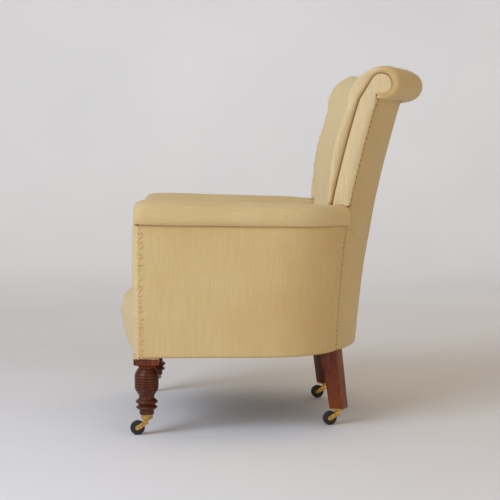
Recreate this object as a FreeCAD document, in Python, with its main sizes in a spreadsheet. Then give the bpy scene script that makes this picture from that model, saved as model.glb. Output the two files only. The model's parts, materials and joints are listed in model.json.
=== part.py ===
import FreeCAD, Part
import math
import os
from types import SimpleNamespace

import Sketcher
from FreeCAD import Placement, Rotation, Vector

# Regency armchair, in millimetres
# +Z is up, the chair faces -Y and +X is the sitter's left. The origin is at floor level under the
# middle of the chair. A "reach" is a distance ahead of the axis line of the two front legs, an
# "inset" a distance in from the face of the side, and a "lean" a distance ahead of the top scroll.

SIZES = {
    # the whole chair
    "chair_depth": 774, "chair_height": 884, "body_width": 650, "under_edge_height": 190,
    "seat_gap": 0.3, "cut_overrun": 20,
    # seat frame
    "rail_height": 75, "rail_thickness": 28, "front_rail_thickness": 42, "front_rail_bow": 33,
    "rail_lift": 5, "rail_gap": 1.2,
    # front legs
    "leg_inset": 40, "leg_block": 60, "leg_block_drop": 17, "leg_head_width": 54, "leg_head_depth": 42,
    "leg_head_setback": 22,
    "leg_shoulder_radius": 25, "leg_shoulder_height": 5, "leg_neck_radius": 18.8, "leg_neck_height": 7,
    "leg_collar_radius": 24.5, "leg_collar_height": 11, "leg_vase_radius": 28.8, "leg_vase_height": 37,
    "leg_ring_groove": 1.6, "leg_taper_radius": 18.2, "leg_taper_height": 17,
    "leg_disc_radius": 26.6, "leg_disc_height": 15.5, "leg_waist_radius": 19.6, "leg_waist_height": 3.5,
    "leg_foot_radius": 17.4, "leg_spigot_radius": 12.4,
    # rear legs
    "rear_leg_inset": 150.6, "rear_leg_cover": 29, "rear_leg_top": 39, "rear_leg_foot": 35,
    "rear_leg_rake": 20,
    # castors
    "castor_height": 39.5, "castor_trail": 22, "wheel_radius": 17.5, "wheel_width": 12, "tyre_round": 4,
    "hub_radius": 7, "hub_proud": 0.8, "horn_thickness": 2.6, "horn_side_gap": 0.7, "horn_wheel_gap": 1.2,
    "horn_neck_radius": 8.5, "horn_neck_height": 4, "horn_eye_radius": 5.2, "horn_post_depth": 7,
    "axle_radius": 2.5, "axle_head_radius": 4, "axle_head_height": 1.2, "running_gap": 0.05,
    "pin_radius": 4, "pin_head_radius": 7, "pin_head_height": 2.5, "pin_slack": 0.4,
    "cup_radius": 14.4, "cup_wall": 2, "cup_floor": 2.2, "cup_height": 11, "cup_bead": 1.2,
    "plate_side": 33, "plate_thickness": 3, "plate_screw_inset": 5.5,
    "screw_head_radius": 2.6, "screw_head_height": 1.4, "screw_shank_radius": 1.4,
    # back
    "waist_lean": 82, "waist_height": 526, "foot_lean": 126, "neck_lean": 13, "barrel_radius": 380,
    "back_cover_thickness": 8, "scroll_radius": 42, "scroll_end_radius": 46, "scroll_neck_drop": 40,
    "crest_drop": 3,
    "scroll_wood_radius": 26, "roll_gap": 0.8, "strip_width": 39, "post_inset": 83,
    "post_thickness": 30, "facing_thickness": 6, "wing_inset": 73, "seam_foot_inset": 97,
    "back_stuffing": 45, "wing_stuffing": 30, "wing_foot_stuffing": 10, "roll_stuffing_front": 28,
    "back_pad_bottom": 352, "lumbar_bulge": 9, "roll_bulge": 13, "scroll_hook_angle": -107, "hook_lead": 17,
    "scroll_tangent_angle": 140, "roll_tangent_angle": 120,
    "lower_rail_height": 44, "lower_rail_depth": 20, "lower_rail_base": 330,
    "stay_width": 40, "stay_depth": 16, "stay_spacing": 190,
    "back_web_thickness": 1.6, "back_web_width": 50, "back_web_count": 4, "back_web_base": 430,
    "back_web_pitch": 92,
    # arms
    "arm_height": 562, "arm_rear_height": 548, "arm_width": 90, "roll_overhang": 12,
    "roll_seam_height": 505, "roll_seam_rear_height": 498, "roll_seam_lap": 2, "arm_cover_thickness": 7,
    "arm_front_reach": 22, "arm_front_round": 17, "arm_stuffing": 24, "arm_pad_bottom": 345,
    "arm_shoulder_drop": 9, "arm_rail_thickness": 24, "rear_curve_depth": 238,
    "rear_curve_top_depth": 229,
    "stump_depth": 32, "stump_width": 52, "arm_facing_thickness": 8, "arm_facing_dome": 11,
    "wing_gap": 1.2,
    # seat
    "nose_reach": 77, "nose_height": 275, "seat_height": 415, "seat_side_height": 400,
    "seat_bow": 44, "border_foot_reach": 58, "seat_edge_reach": 30, "seat_edge_height": 396,
    "seat_rear_height": 392, "seat_side_gap": 0.5,
    "hessian_height": 316, "hessian_thickness": 1.5, "hessian_slope": 62,
    "web_width": 48, "web_thickness": 1.6, "long_webs": 5, "cross_webs": 5, "long_web_pitch": 59,
    "cross_web_pitch": 52.5,
    "spring_radius_top": 36, "spring_radius_waist": 24, "spring_wire": 3.6, "spring_turns": 4,
    "spring_steps": 12,
    "dust_cover_thickness": 1.2, "dust_cover_margin": 12,
    "block_leg": 52, "block_height": 40, "block_lift": 18,
    "block_screw_radius": 2.5, "block_screw_head": 5, "block_screw_length": 48,
}

doc = FreeCAD.newDocument("RegencyArmchair")
sheet = doc.addObject("Spreadsheet::Sheet", "Sizes")
for row, (alias, amount) in enumerate(SIZES.items(), start=1):
    sheet.set("A%d" % row, alias)
    sheet.set("B%d" % row, str(amount))
    sheet.setAlias("B%d" % row, alias)
doc.recompute()


def wording(value):
    """The text of a value in an expression."""
    return getattr(value, "text", repr(float(value)))


class Length(float):
    """A number that also carries its expression in the sheet of sizes."""

    def __new__(cls, number, text):
        made = super().__new__(cls, number)
        made.text = text
        return made

    def __add__(self, other):
        return Length(float(self) + float(other), "(%s + %s)" % (self.text, wording(other)))

    def __radd__(self, other):
        return Length(float(other) + float(self), "(%s + %s)" % (wording(other), self.text))

    def __sub__(self, other):
        return Length(float(self) - float(other), "(%s - %s)" % (self.text, wording(other)))

    def __rsub__(self, other):
        return Length(float(other) - float(self), "(%s - %s)" % (wording(other), self.text))

    def __mul__(self, share):
        return Length(float(self) * float(share), "(%s * %s)" % (self.text, wording(share)))

    __rmul__ = __mul__

    def __truediv__(self, share):
        return Length(float(self) / float(share), "(%s / %s)" % (self.text, wording(share)))

    def __neg__(self):
        return Length(-float(self), "(-%s)" % self.text)


s = SimpleNamespace(**{name: Length(float(sheet.get(name)), "Sizes." + name) for name in SIZES})

# Places that several pieces share
SIDE_X = s.body_width / 2
LEG_X = SIDE_X - s.leg_inset
POST_X = SIDE_X - s.post_inset
WING_X = SIDE_X - s.wing_inset
SEAM_FOOT_X = SIDE_X - s.seam_foot_inset
ARM_INNER_X = SIDE_X - s.arm_width
FRONT_LEG_Y = s.nose_reach - s.chair_depth / 2
RAIL_BASE = s.under_edge_height + s.rail_lift
RAIL_TOP = RAIL_BASE + s.rail_height
SCROLL_Y = s.chair_depth / 2 - s.scroll_radius
SCROLL_Z = s.chair_height - s.scroll_end_radius + s.crest_drop
NECK_Z = SCROLL_Z - s.scroll_neck_drop
BACK_FOOT_Y = SCROLL_Y - s.foot_lean
BARREL_Y = BACK_FOOT_Y - s.barrel_radius
BEND_Y = BACK_FOOT_Y - s.rear_curve_depth
REAR_LEG_RING = s.barrel_radius - s.rear_leg_cover
REAR_LEG_TURN = math.degrees(math.asin((SIDE_X - s.rear_leg_inset) / REAR_LEG_RING))
SIDES = (("left", 1), ("right", -1))

# How far back the middle row of springs stands, as a share of the seat frame
SPRING_ROWS_SHARE = 0.4275
SPRING_ROWS_Y = float(FRONT_LEG_Y) + SPRING_ROWS_SHARE * float(BACK_FOOT_Y - FRONT_LEG_Y)


def bind(item, name, value):
    """Set a property and tie it to the sheet when the value comes from there."""
    setattr(item, name, float(value))
    if hasattr(value, "text"):
        item.setExpression(name, value.text)


def make_body(label):
    """A new body with its own label."""
    body = doc.addObject("PartDesign::Body", label)
    body.Label = label
    return body


def make_sketch(body, name, role, offset=0):
    """A sketch on one of the body's origin planes, moved along that plane's normal."""
    sketch = body.newObject("Sketcher::SketchObject", name)
    flat = next(item for item in body.Origin.OriginFeatures if item.Role == role)
    sketch.AttachmentSupport = [(flat, "")]
    sketch.MapMode = "FlatFace"
    if float(offset):
        sketch.AttachmentOffset = Placement(Vector(0, 0, float(offset)), Rotation())
        sketch.setExpression("AttachmentOffset.Base.z", wording(offset))
    return sketch


def pin_point(sketch, edge, end, spot):
    """Hold one end of an edge at a named place of the sketch."""
    for kind, value, axis in (("DistanceX", spot[0], -2), ("DistanceY", spot[1], -1)):
        if abs(float(value)) < 1e-9:
            sketch.addConstraint(Sketcher.Constraint("PointOnObject", edge, end, axis))
            continue
        ends = (-1, 1, edge, end) if value > 0 else (edge, end, -1, 1)
        mark = sketch.addConstraint(Sketcher.Constraint(kind, *ends, abs(float(value))))
        if hasattr(value, "text"):
            sketch.setExpression("Constraints[%d]" % mark, (value if value > 0 else -value).text)


def flat_vector(spot):
    """A sketch point as a vector."""
    return Vector(float(spot[0]), float(spot[1]), 0)


def draw_outline(sketch, spots):
    """Draw a closed outline. A spot is (x, y), or (x, y, via_x, via_y) where an arc runs on from it."""
    joints = []
    for here, after in zip(spots, spots[1:] + spots[:1]):
        start, finish = flat_vector(here), flat_vector(after)
        if len(here) == 2:
            edge = sketch.addGeometry(Part.LineSegment(start, finish), False)
        else:
            via = Vector(float(here[2]), float(here[3]), 0)
            edge = sketch.addGeometry(Part.Arc(start, via, finish), False)
            dot = sketch.addGeometry(Part.Point(via), True)
            pin_point(sketch, dot, 1, here[2:])
            sketch.addConstraint(Sketcher.Constraint("PointOnObject", dot, 1, edge))
        first = 1 if sketch.getPoint(edge, 1).distanceToPoint(start) < 1e-4 else 2
        joints.append((edge, first, 3 - first))
        pin_point(sketch, edge, first, here[:2])
    for (edge, _, last), (after, first, _) in zip(joints, joints[1:] + joints[:1]):
        sketch.addConstraint(Sketcher.Constraint("Coincident", edge, last, after, first))


def draw_circle(sketch, centre, radius):
    """Draw a circle with a named centre and radius."""
    ring = sketch.addGeometry(Part.Circle(flat_vector(centre), Vector(0, 0, 1), float(radius)), False)
    pin_point(sketch, ring, 3, centre)
    mark = sketch.addConstraint(Sketcher.Constraint("Radius", ring, float(radius)))
    if hasattr(radius, "text"):
        sketch.setExpression("Constraints[%d]" % mark, radius.text)


def rectangle(low_x, low_y, high_x, high_y):
    """The four corners of a rectangle."""
    return [(low_x, low_y), (high_x, low_y), (high_x, high_y), (low_x, high_y)]


def add_pad(body, name, sketch, length, midplane=False, backwards=False):
    """Pad a sketch to a named length."""
    pad = body.newObject("PartDesign::Pad", name)
    pad.Profile = sketch
    bind(pad, "Length", length)
    if midplane:
        pad.SideType = "Symmetric"
    pad.Reversed = backwards
    body.Tip = pad
    return pad


def add_pocket(body, name, sketch, length, midplane=False, backwards=False):
    """Cut a sketch into the body to a named depth and make sure that it cut something."""
    doc.recompute()
    before = body.Shape.Volume
    pocket = body.newObject("PartDesign::Pocket", name)
    pocket.Profile = sketch
    bind(pocket, "Length", length)
    if midplane:
        pocket.SideType = "Symmetric"
    pocket.Reversed = backwards
    body.Tip = pocket
    doc.recompute()
    if body.Shape.Volume >= before:
        raise ValueError("%s of %s cuts nothing" % (name, body.Label))
    return pocket


def add_turning(body, name, spots, role="XZ_Plane", offset=0):
    """Turn a half outline, radius and height, about the body's upright axis."""
    sketch = make_sketch(body, name + "_outline", role, offset)
    draw_outline(sketch, spots)
    turning = body.newObject("PartDesign::Revolution", name)
    turning.Profile = sketch
    turning.ReferenceAxis = (sketch, ["V_Axis"])
    turning.Angle = 360
    body.Tip = turning
    return turning


def place(item, x, y, z, turn=0):
    """Set a piece at a named place of the chair, turned about the vertical."""
    item.Placement = Placement(Vector(float(x), float(y), float(z)), Rotation(Vector(0, 0, 1), turn))
    for axis, value in (("x", x), ("y", y), ("z", z)):
        if hasattr(value, "text"):
            item.setExpression("Placement.Base." + axis, value.text)


def solid_piece(label, shape):
    """Put a shape made by Part's own functions in the document under its label."""
    item = doc.addObject("Part::Feature", label)
    item.Label = label
    item.Shape = shape
    return item


def mirrored(shape):
    """The same shape on the other side of the chair."""
    return shape.mirror(Vector(0, 0, 0), Vector(1, 0, 0))


def closed_wire(spots):
    """A closed wire through 3-D spots. A spot is a vector, or (vector, via) where an arc runs on."""
    firsts = [spot[0] if isinstance(spot, tuple) else spot for spot in spots]
    edges = []
    for spot, start, finish in zip(spots, firsts, firsts[1:] + firsts[:1]):
        if isinstance(spot, tuple):
            edges.append(Part.Arc(start, spot[1], finish).toShape())
        else:
            edges.append(Part.LineSegment(start, finish).toShape())
    return Part.Wire(edges)


def upright_box(low, high):
    """A box between two corners."""
    return Part.makeBox(high[0] - low[0], high[1] - low[1], high[2] - low[2], Vector(*low))


# The barrel of the back

def circle_through(first, middle, last):
    """Centre and radius of the circle through three flat points."""
    ring = Part.Circle(Vector(*first, 0), Vector(*middle, 0), Vector(*last, 0))
    return ring.Center, ring.Radius


BACK_CENTRE, BACK_RADIUS = circle_through(
    (float(BACK_FOOT_Y), float(s.under_edge_height)),
    (float(SCROLL_Y - s.waist_lean), float(s.waist_height)),
    (float(SCROLL_Y - s.neck_lean), float(NECK_Z)),
)


def back_y(height):
    """Where the outside of the back lies on the chair's centre line at a height."""
    return BACK_CENTRE.x - math.sqrt(BACK_RADIUS ** 2 - (height - BACK_CENTRE.y) ** 2)


def strip_front(height):
    """Front of the back's frame on the centre line at a height."""
    return back_y(height) - float(s.strip_width)


def sag(x):
    """How far the barrel has come forward at a distance from the centre line."""
    return float(s.barrel_radius) - math.sqrt(float(s.barrel_radius) ** 2 - x ** 2)


def crest_fall(x):
    """How far the top roll's centre has fallen at a distance from the centre line."""
    return float(s.crest_drop) * (x / float(WING_X)) ** 2


def roll_radius(x):
    """Radius of the top roll, which swells towards its ends, at a distance from the centre line."""
    return float(s.scroll_radius) + float(s.scroll_end_radius - s.scroll_radius) * (x / float(WING_X)) ** 2


def seam_x(height):
    """Half the width of the outside back at a height."""
    low, high = float(s.under_edge_height), float(s.arm_rear_height)
    share = min(max((height - low) / (high - low), 0), 1)
    foot = float(SEAM_FOOT_X)
    return foot + share * (float(POST_X - s.seat_gap) - foot)


def seam_y(height):
    """Where the seam between the side and the back lies at a height."""
    return back_y(height) - sag(seam_x(height))


def around(y, z, radius, angle):
    """A point of a circle in a side view, by its angle from straight back."""
    turn = math.radians(angle)
    return y + radius * math.cos(turn), z + radius * math.sin(turn)


# Turned front legs

# Where the collar swells and ends, as shares of its height
COLLAR_BELLY_SHARE, COLLAR_FOOT_SHARE = 0.55, 0.8
# How the tapered neck above the discs hollows, as shares of a groove and of its own height
TAPER_HOLLOW_SHARE, TAPER_LIFT_SHARE = 0.6, 0.1
# The flat rim of a disc on each side of its middle, as a share of its height
DISC_RIM_SHARE = 0.1


def front_leg(side_name, side):
    """A turned leg: square block, neck, reeded vase, two discs and a foot."""
    body = make_body("front_leg_" + side_name)
    block_low = s.under_edge_height - s.leg_block_drop
    spigot_top = s.castor_height + s.cup_floor + s.cup_height
    spigot_low = s.castor_height + s.cup_floor + s.pin_head_height + s.pin_slack
    z = [block_low]
    for step in (s.leg_shoulder_height, s.leg_neck_height, s.leg_collar_height, s.leg_vase_height,
                 s.leg_taper_height, s.leg_disc_height, s.leg_waist_height, s.leg_disc_height):
        z.append(z[-1] - step)
    vase, groove = s.leg_vase_radius, s.leg_vase_radius - s.leg_ring_groove
    ring = s.leg_vase_height / 6
    spots = [(0, block_low), (s.leg_shoulder_radius, block_low,
              (s.leg_shoulder_radius + s.leg_neck_radius) / 2 + s.leg_ring_groove, (z[0] + z[1]) / 2),
             (s.leg_neck_radius, z[1]), (s.leg_neck_radius, (z[1] + z[2]) / 2),
             (s.leg_neck_radius + s.leg_ring_groove, z[2]),
             (s.leg_collar_radius, z[2] - s.leg_collar_height / 3,
              s.leg_collar_radius + s.leg_ring_groove / 2, z[2] - s.leg_collar_height * COLLAR_BELLY_SHARE),
             (s.leg_collar_radius - s.leg_ring_groove, z[2] - s.leg_collar_height * COLLAR_FOOT_SHARE),
             (groove, z[3])]
    for count in range(5):
        top = z[3] - ring * count
        spots[-1] = (groove, top, vase, top - ring / 2)
        spots.append((groove, top - ring))
    spots += [(s.leg_taper_radius + s.leg_ring_groove * 2, z[4],
               s.leg_taper_radius + s.leg_ring_groove * TAPER_HOLLOW_SHARE,
               (z[4] + z[5]) / 2 + s.leg_taper_height * TAPER_LIFT_SHARE), (s.leg_taper_radius, z[5])]
    for top, low, foot in ((z[5], z[6], s.leg_waist_radius), (z[7], z[8], s.leg_foot_radius)):
        rim = s.leg_disc_height * DISC_RIM_SHARE
        spots += [(s.leg_disc_radius, (top + low) / 2 + rim), (s.leg_disc_radius, (top + low) / 2 - rim),
                  (foot, low)]
        if foot is s.leg_waist_radius:
            spots.append((s.leg_waist_radius, z[7]))
    spots += [(s.leg_foot_radius, spigot_top), (s.leg_spigot_radius, spigot_top),
              (s.leg_spigot_radius, spigot_low), (0, spigot_low)]
    add_turning(body, "turning", spots)
    block = make_sketch(body, "block_outline", "XY_Plane", block_low)
    draw_outline(block, rectangle(-s.leg_block / 2, -s.leg_block / 2, s.leg_block / 2, s.leg_block / 2))
    add_pad(body, "block", block, s.leg_block_drop)
    head = make_sketch(body, "head_outline", "XY_Plane", s.under_edge_height)
    inner, outer = -s.leg_head_width / 2, s.leg_head_width / 2
    head_front = s.leg_head_setback - s.leg_block / 2
    draw_outline(head, rectangle(inner, head_front, outer, head_front + s.leg_head_depth))
    add_pad(body, "head", head, RAIL_TOP - s.under_edge_height)
    place(body, LEG_X * side, FRONT_LEG_Y, 0)
    return body


# Raked rear legs

def rear_leg(side_name, side):
    """A square leg on the curve of the back: upright in the frame, raked and tapered below it."""
    body = make_body("rear_leg_" + side_name)
    foot_z = s.castor_height + s.plate_thickness
    top = s.rear_leg_top / 2
    foot = s.rear_leg_foot / 2
    head = make_sketch(body, "head_outline", "XY_Plane", s.under_edge_height)
    draw_outline(head, rectangle(-top, -top, top, top))
    add_pad(body, "head", head, RAIL_TOP - s.under_edge_height)
    upper = make_sketch(body, "upper_outline", "XY_Plane", s.under_edge_height)
    draw_outline(upper, rectangle(-top, -top, top, top))
    lower = make_sketch(body, "lower_outline", "XY_Plane", foot_z)
    draw_outline(lower, rectangle(-foot, s.rear_leg_rake - foot, foot, s.rear_leg_rake + foot))
    shank = body.newObject("PartDesign::AdditiveLoft", "shank")
    shank.Profile = upper
    shank.Sections = [lower]
    body.Tip = shank
    pin_recess = make_sketch(body, "pin_recess_outline", "XY_Plane", foot_z)
    draw_circle(pin_recess, (0, s.rear_leg_rake), s.pin_head_radius + s.pin_slack)
    add_pocket(body, "pin_recess", pin_recess, s.pin_head_height + s.pin_slack, backwards=True)
    angle = REAR_LEG_TURN * side
    place(body, rear_leg_x(0) * side, rear_leg_y(0), 0, -angle)
    return body


def rear_leg_x(rake):
    """Sideways place of a rear leg whose foot is raked out by an amount."""
    return (REAR_LEG_RING + rake) * math.sin(math.radians(REAR_LEG_TURN))


def rear_leg_y(rake):
    """Fore and aft place of a rear leg whose foot is raked out by an amount."""
    share = math.cos(math.radians(REAR_LEG_TURN))
    return BARREL_Y + (REAR_LEG_RING + rake) * share


# Seat rails

def plan_arc(radius, angle):
    """A point of the barrel's base plan by its angle from straight back, for the left side."""
    turn = math.radians(angle)
    return radius * math.sin(turn), BARREL_Y + radius * math.cos(turn)


def corner_circle():
    """Centre reach, radius and end angle of the curve from the straight side to the back's base."""
    inward = float(SIDE_X - SEAM_FOOT_X)
    end_y = seam_y(float(s.under_edge_height))
    back = end_y - float(BEND_Y)
    radius = (inward ** 2 + back ** 2) / (2 * inward)
    return radius, math.degrees(math.asin(back / radius))


def side_seat_rail(side_name, side):
    """A side rail: straight from the front leg, then curved in to the rear leg."""
    body = make_body("side_seat_rail_" + side_name)
    sketch = make_sketch(body, "plan", "XY_Plane", RAIL_BASE)
    outer = SIDE_X - s.arm_cover_thickness - s.seat_gap
    inner = outer - s.rail_thickness
    front = FRONT_LEG_Y + s.leg_head_setback - s.leg_block / 2 + s.leg_head_depth
    bend = BEND_Y
    radius, end = corner_circle()
    centre = SIDE_X - radius
    outer_radius = radius - float(s.arm_cover_thickness + s.seat_gap)
    inner_radius = outer_radius - float(s.rail_thickness)
    base_outer = s.barrel_radius - s.back_cover_thickness - s.rail_gap
    base_inner = base_outer - s.rail_thickness
    leg_edge = REAR_LEG_TURN + math.degrees(math.asin((s.rear_leg_top / 2 + s.seat_gap) / base_inner))

    def corner(ring, angle):
        turn = math.radians(angle)
        return (centre + ring * math.cos(turn)) * side, bend + ring * math.sin(turn)

    def base(ring, angle):
        x, y = plan_arc(ring, angle)
        return x * side, y

    spots = [(inner * side, front), (outer * side, front),
             (outer * side, bend) + corner(outer_radius, end / 2),
             corner(outer_radius - float(s.rail_gap), end),
             base(base_outer, leg_edge), base(base_inner, leg_edge),
             corner(inner_radius, end) + corner(inner_radius, end / 2), (inner * side, bend)]
    draw_outline(sketch, spots)
    add_pad(body, "rail", sketch, s.rail_height)
    return body


def back_seat_rail():
    """The curved rail between the rear legs."""
    body = make_body("back_seat_rail")
    sketch = make_sketch(body, "plan", "XY_Plane", RAIL_BASE)
    outer = s.barrel_radius - s.back_cover_thickness - s.rail_gap
    inner = outer - s.rail_thickness
    edge = REAR_LEG_TURN - math.degrees(math.asin((s.rear_leg_top / 2 + s.seat_gap) / inner))
    left_outer, left_inner = plan_arc(outer, edge), plan_arc(inner, edge)
    spots = [(-left_outer[0], left_outer[1], 0, plan_arc(outer, 0)[1]), left_outer,
             left_inner + (0, plan_arc(inner, 0)[1]), (-left_inner[0], left_inner[1])]
    draw_outline(sketch, spots)
    add_pad(body, "rail", sketch, s.rail_height)
    return body


def front_seat_rail():
    """The bowed rail between the front legs."""
    body = make_body("front_seat_rail")
    sketch = make_sketch(body, "plan", "XY_Plane", RAIL_BASE)
    half = LEG_X - s.leg_head_width / 2
    front = FRONT_LEG_Y + s.leg_head_setback - s.leg_block / 2
    rear = front + s.front_rail_thickness
    spots = [(-half, rear, 0, rear - s.front_rail_bow), (half, rear),
             (half, front, 0, front - s.front_rail_bow), (-half, front)]
    draw_outline(sketch, spots)
    add_pad(body, "rail", sketch, s.rail_height)
    return body


def corner_blocks():
    """Glued and screwed blocks in the two front corners of the seat frame."""
    outer = SIDE_X - s.arm_cover_thickness - s.seat_gap - s.rail_thickness
    front = FRONT_LEG_Y + s.leg_head_setback - s.leg_block / 2 + s.leg_head_depth
    base = float(RAIL_BASE + s.block_lift)
    blocks = []
    screws = []
    for _, side in SIDES:
        corner = Vector(float(outer) * side, float(front), base)
        along = corner + Vector(0, float(s.block_leg), 0)
        across = corner + Vector(-float(s.block_leg) * side, 0, 0)
        face = Part.Face(Part.makePolygon([corner, along, across, corner]))
        block = face.extrude(Vector(0, 0, float(s.block_height)))
        middle = (along + across) * 0.5 + Vector(0, 0, float(s.block_height) / 2)
        into = Vector(side, -1, 0).normalize()
        seat_spot = middle - into * s.block_screw_radius
        head = Part.makeCylinder(s.block_screw_head, s.block_screw_radius, seat_spot, into)
        shank = Part.makeCylinder(s.block_screw_radius, s.block_screw_length, middle, into)
        hole = Part.makeCylinder(s.block_screw_radius, s.block_screw_length + s.cut_overrun,
                                 middle - into * s.cut_overrun, into)
        screws.append(head.fuse(shank.common(block)).removeSplitter())
        blocks.append(block.cut(hole))
    solid_piece("corner_blocks", Part.makeCompound(blocks))
    solid_piece("corner_block_screws", Part.makeCompound(screws))


# Castors

def castor_places():
    """Name, swivel axis place and side of the four castors."""
    spots = []
    for side_name, side in SIDES:
        spots.append(("front_" + side_name, LEG_X * side, FRONT_LEG_Y))
        spots.append(("rear_" + side_name, rear_leg_x(s.rear_leg_rake) * side, rear_leg_y(s.rear_leg_rake)))
    return spots


def castor_cup(name, x, y):
    """A brass cup on the turned foot, with a bead round its rim."""
    body = make_body("castor_cup_" + name)
    low = s.castor_height
    floor_top = low + s.cup_floor
    rim = floor_top + s.cup_height
    bore = s.pin_radius + s.running_gap
    inside = s.cup_radius - s.cup_wall
    spots = [(bore, low), (s.cup_radius - s.cup_bead, low), (s.cup_radius, low + s.cup_bead),
             (s.cup_radius, rim - s.cup_bead * 3, s.cup_radius + s.cup_bead, rim - s.cup_bead * 1.5),
             (s.cup_radius, rim), (inside, rim), (inside, floor_top), (bore, floor_top)]
    add_turning(body, "cup", spots)
    place(body, x, y, 0)


def castor_plate(name, x, y, side):
    """A square brass plate under a rear leg, with four screws."""
    body = make_body("castor_plate_" + name)
    half = s.plate_side / 2
    sketch = make_sketch(body, "plate_outline", "XY_Plane", s.castor_height)
    draw_outline(sketch, rectangle(-half, -half, half, half))
    draw_circle(sketch, (0, 0), s.pin_radius + s.running_gap)
    inset = half - s.plate_screw_inset
    for along in (-inset, inset):
        for across in (-inset, inset):
            draw_circle(sketch, (along, across), s.screw_shank_radius + s.running_gap)
    add_pad(body, "plate", sketch, s.plate_thickness)
    place(body, x, y, 0, -REAR_LEG_TURN * side)


def castor_horn(name, x, y):
    """The swivelling brass horn: neck, two cheeks with eyes, and the riveted pin, in one casting."""
    body = make_body("castor_horn_" + name)
    width = s.wheel_width + s.horn_side_gap * 2 + s.horn_thickness * 2
    axle_z = s.wheel_radius
    neck_low = s.castor_height - s.horn_neck_height
    post_front = s.horn_wheel_gap + s.wheel_radius - s.castor_trail
    eye = s.horn_eye_radius
    cheek = make_sketch(body, "cheek_outline", "YZ_Plane")
    spots = [(post_front - s.horn_wheel_gap, neck_low), (post_front + s.horn_post_depth, neck_low),
             (post_front + s.horn_post_depth, neck_low - s.horn_neck_height * 2),
             around(-s.castor_trail, axle_z, eye, 300) + (-s.castor_trail - eye, axle_z),
             around(-s.castor_trail, axle_z, eye, 120)]
    draw_outline(cheek, spots)
    add_pad(body, "cheeks", cheek, width, midplane=True)
    gap = make_sketch(body, "wheel_gap_outline", "YZ_Plane")
    draw_circle(gap, (-s.castor_trail, axle_z), s.wheel_radius + s.horn_wheel_gap)
    add_pocket(body, "wheel_gap", gap, s.wheel_width + s.horn_side_gap * 2, midplane=True)
    eye_hole = make_sketch(body, "eye_hole_outline", "YZ_Plane")
    draw_circle(eye_hole, (-s.castor_trail, axle_z), s.axle_radius)
    add_pocket(body, "eye_hole", eye_hole, width + s.cut_overrun, midplane=True)
    head_low = s.castor_height + s.cup_floor + s.pin_slack / 2
    if name.startswith("rear"):
        head_low = s.castor_height + s.plate_thickness + s.pin_slack / 2
    head_top = head_low + s.pin_head_height - s.pin_slack / 2
    neck = s.horn_neck_radius
    top = s.castor_height - s.seat_gap
    spots = [(0, neck_low), (neck - s.horn_wheel_gap, neck_low), (neck, neck_low + s.horn_wheel_gap),
             (neck, top), (s.pin_radius, top), (s.pin_radius, head_low), (s.pin_head_radius, head_low),
             (s.pin_head_radius - s.horn_wheel_gap, head_top), (0, head_top)]
    add_turning(body, "neck_and_pin", spots)
    place(body, x, y, 0)


def castor_wheel(name, x, y):
    """A dark wheel with a rounded tread and a proud hub."""
    body = make_body("castor_wheel_" + name)
    half = s.wheel_width / 2
    hub = half + s.horn_side_gap - s.running_gap * 4
    bore = s.axle_radius + s.running_gap
    shoulder = s.wheel_radius - s.tyre_round
    spots = [(bore, -hub), (s.hub_radius, -hub), (s.hub_radius, -half + s.hub_proud),
             (shoulder, -half) + around(shoulder, -half + s.tyre_round, s.tyre_round, -45),
             (s.wheel_radius, -half + s.tyre_round),
             (s.wheel_radius, half - s.tyre_round) + around(shoulder, half - s.tyre_round, s.tyre_round, 45),
             (shoulder, half), (s.hub_radius, half - s.hub_proud), (s.hub_radius, hub), (bore, hub)]
    add_turning(body, "wheel", spots)
    lay_across(body, x, y)


def castor_axle(name, x, y):
    """The brass rivet that carries the wheel."""
    body = make_body("castor_axle_" + name)
    half = s.wheel_width / 2 + s.horn_side_gap + s.horn_thickness
    head = s.axle_head_radius
    spots = [(0, -half - s.axle_head_height), (head - s.axle_head_height, -half - s.axle_head_height),
             (head, -half), (s.axle_radius, -half), (s.axle_radius, half), (head, half),
             (head - s.axle_head_height, half + s.axle_head_height), (0, half + s.axle_head_height)]
    add_turning(body, "rivet", spots)
    lay_across(body, x, y)


def lay_across(body, x, y):
    """Lay a turned piece across the chair on the wheel's axle."""
    place(body, x, y - s.castor_trail, s.wheel_radius)
    body.Placement = Placement(body.Placement.Base, Rotation(Vector(0, 1, 0), 90))


def castors():
    """Four castors, the front ones on cups and the rear ones on screwed plates."""
    for name, x, y in castor_places():
        if name.startswith("front"):
            castor_cup(name, x, y)
        else:
            castor_plate(name, x, y, 1 if name.endswith("left") else -1)
        castor_horn(name, x, y)
        castor_wheel(name, x, y)
        castor_axle(name, x, y)
    plate_screws()


def plate_screws():
    """The screws that hold the rear castor plates."""
    inset = s.plate_side / 2 - s.plate_screw_inset
    screws = []
    for side_name, side in SIDES:
        turn = Rotation(Vector(0, 0, 1), -REAR_LEG_TURN * side)
        middle = Vector(rear_leg_x(s.rear_leg_rake) * side, rear_leg_y(s.rear_leg_rake), s.castor_height)
        for along in (-inset, inset):
            for across in (-inset, inset):
                spot = middle + turn.multVec(Vector(along, across, 0))
                head = Part.makeCone(s.screw_shank_radius, s.screw_head_radius, s.screw_head_height, spot,
                                     Vector(0, 0, -1))
                shank = Part.makeCylinder(s.screw_shank_radius, s.plate_thickness, spot)
                screws.append(shank.fuse(head).removeSplitter())
    solid_piece("castor_plate_screws", Part.makeCompound(screws))


# Back frame

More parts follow.
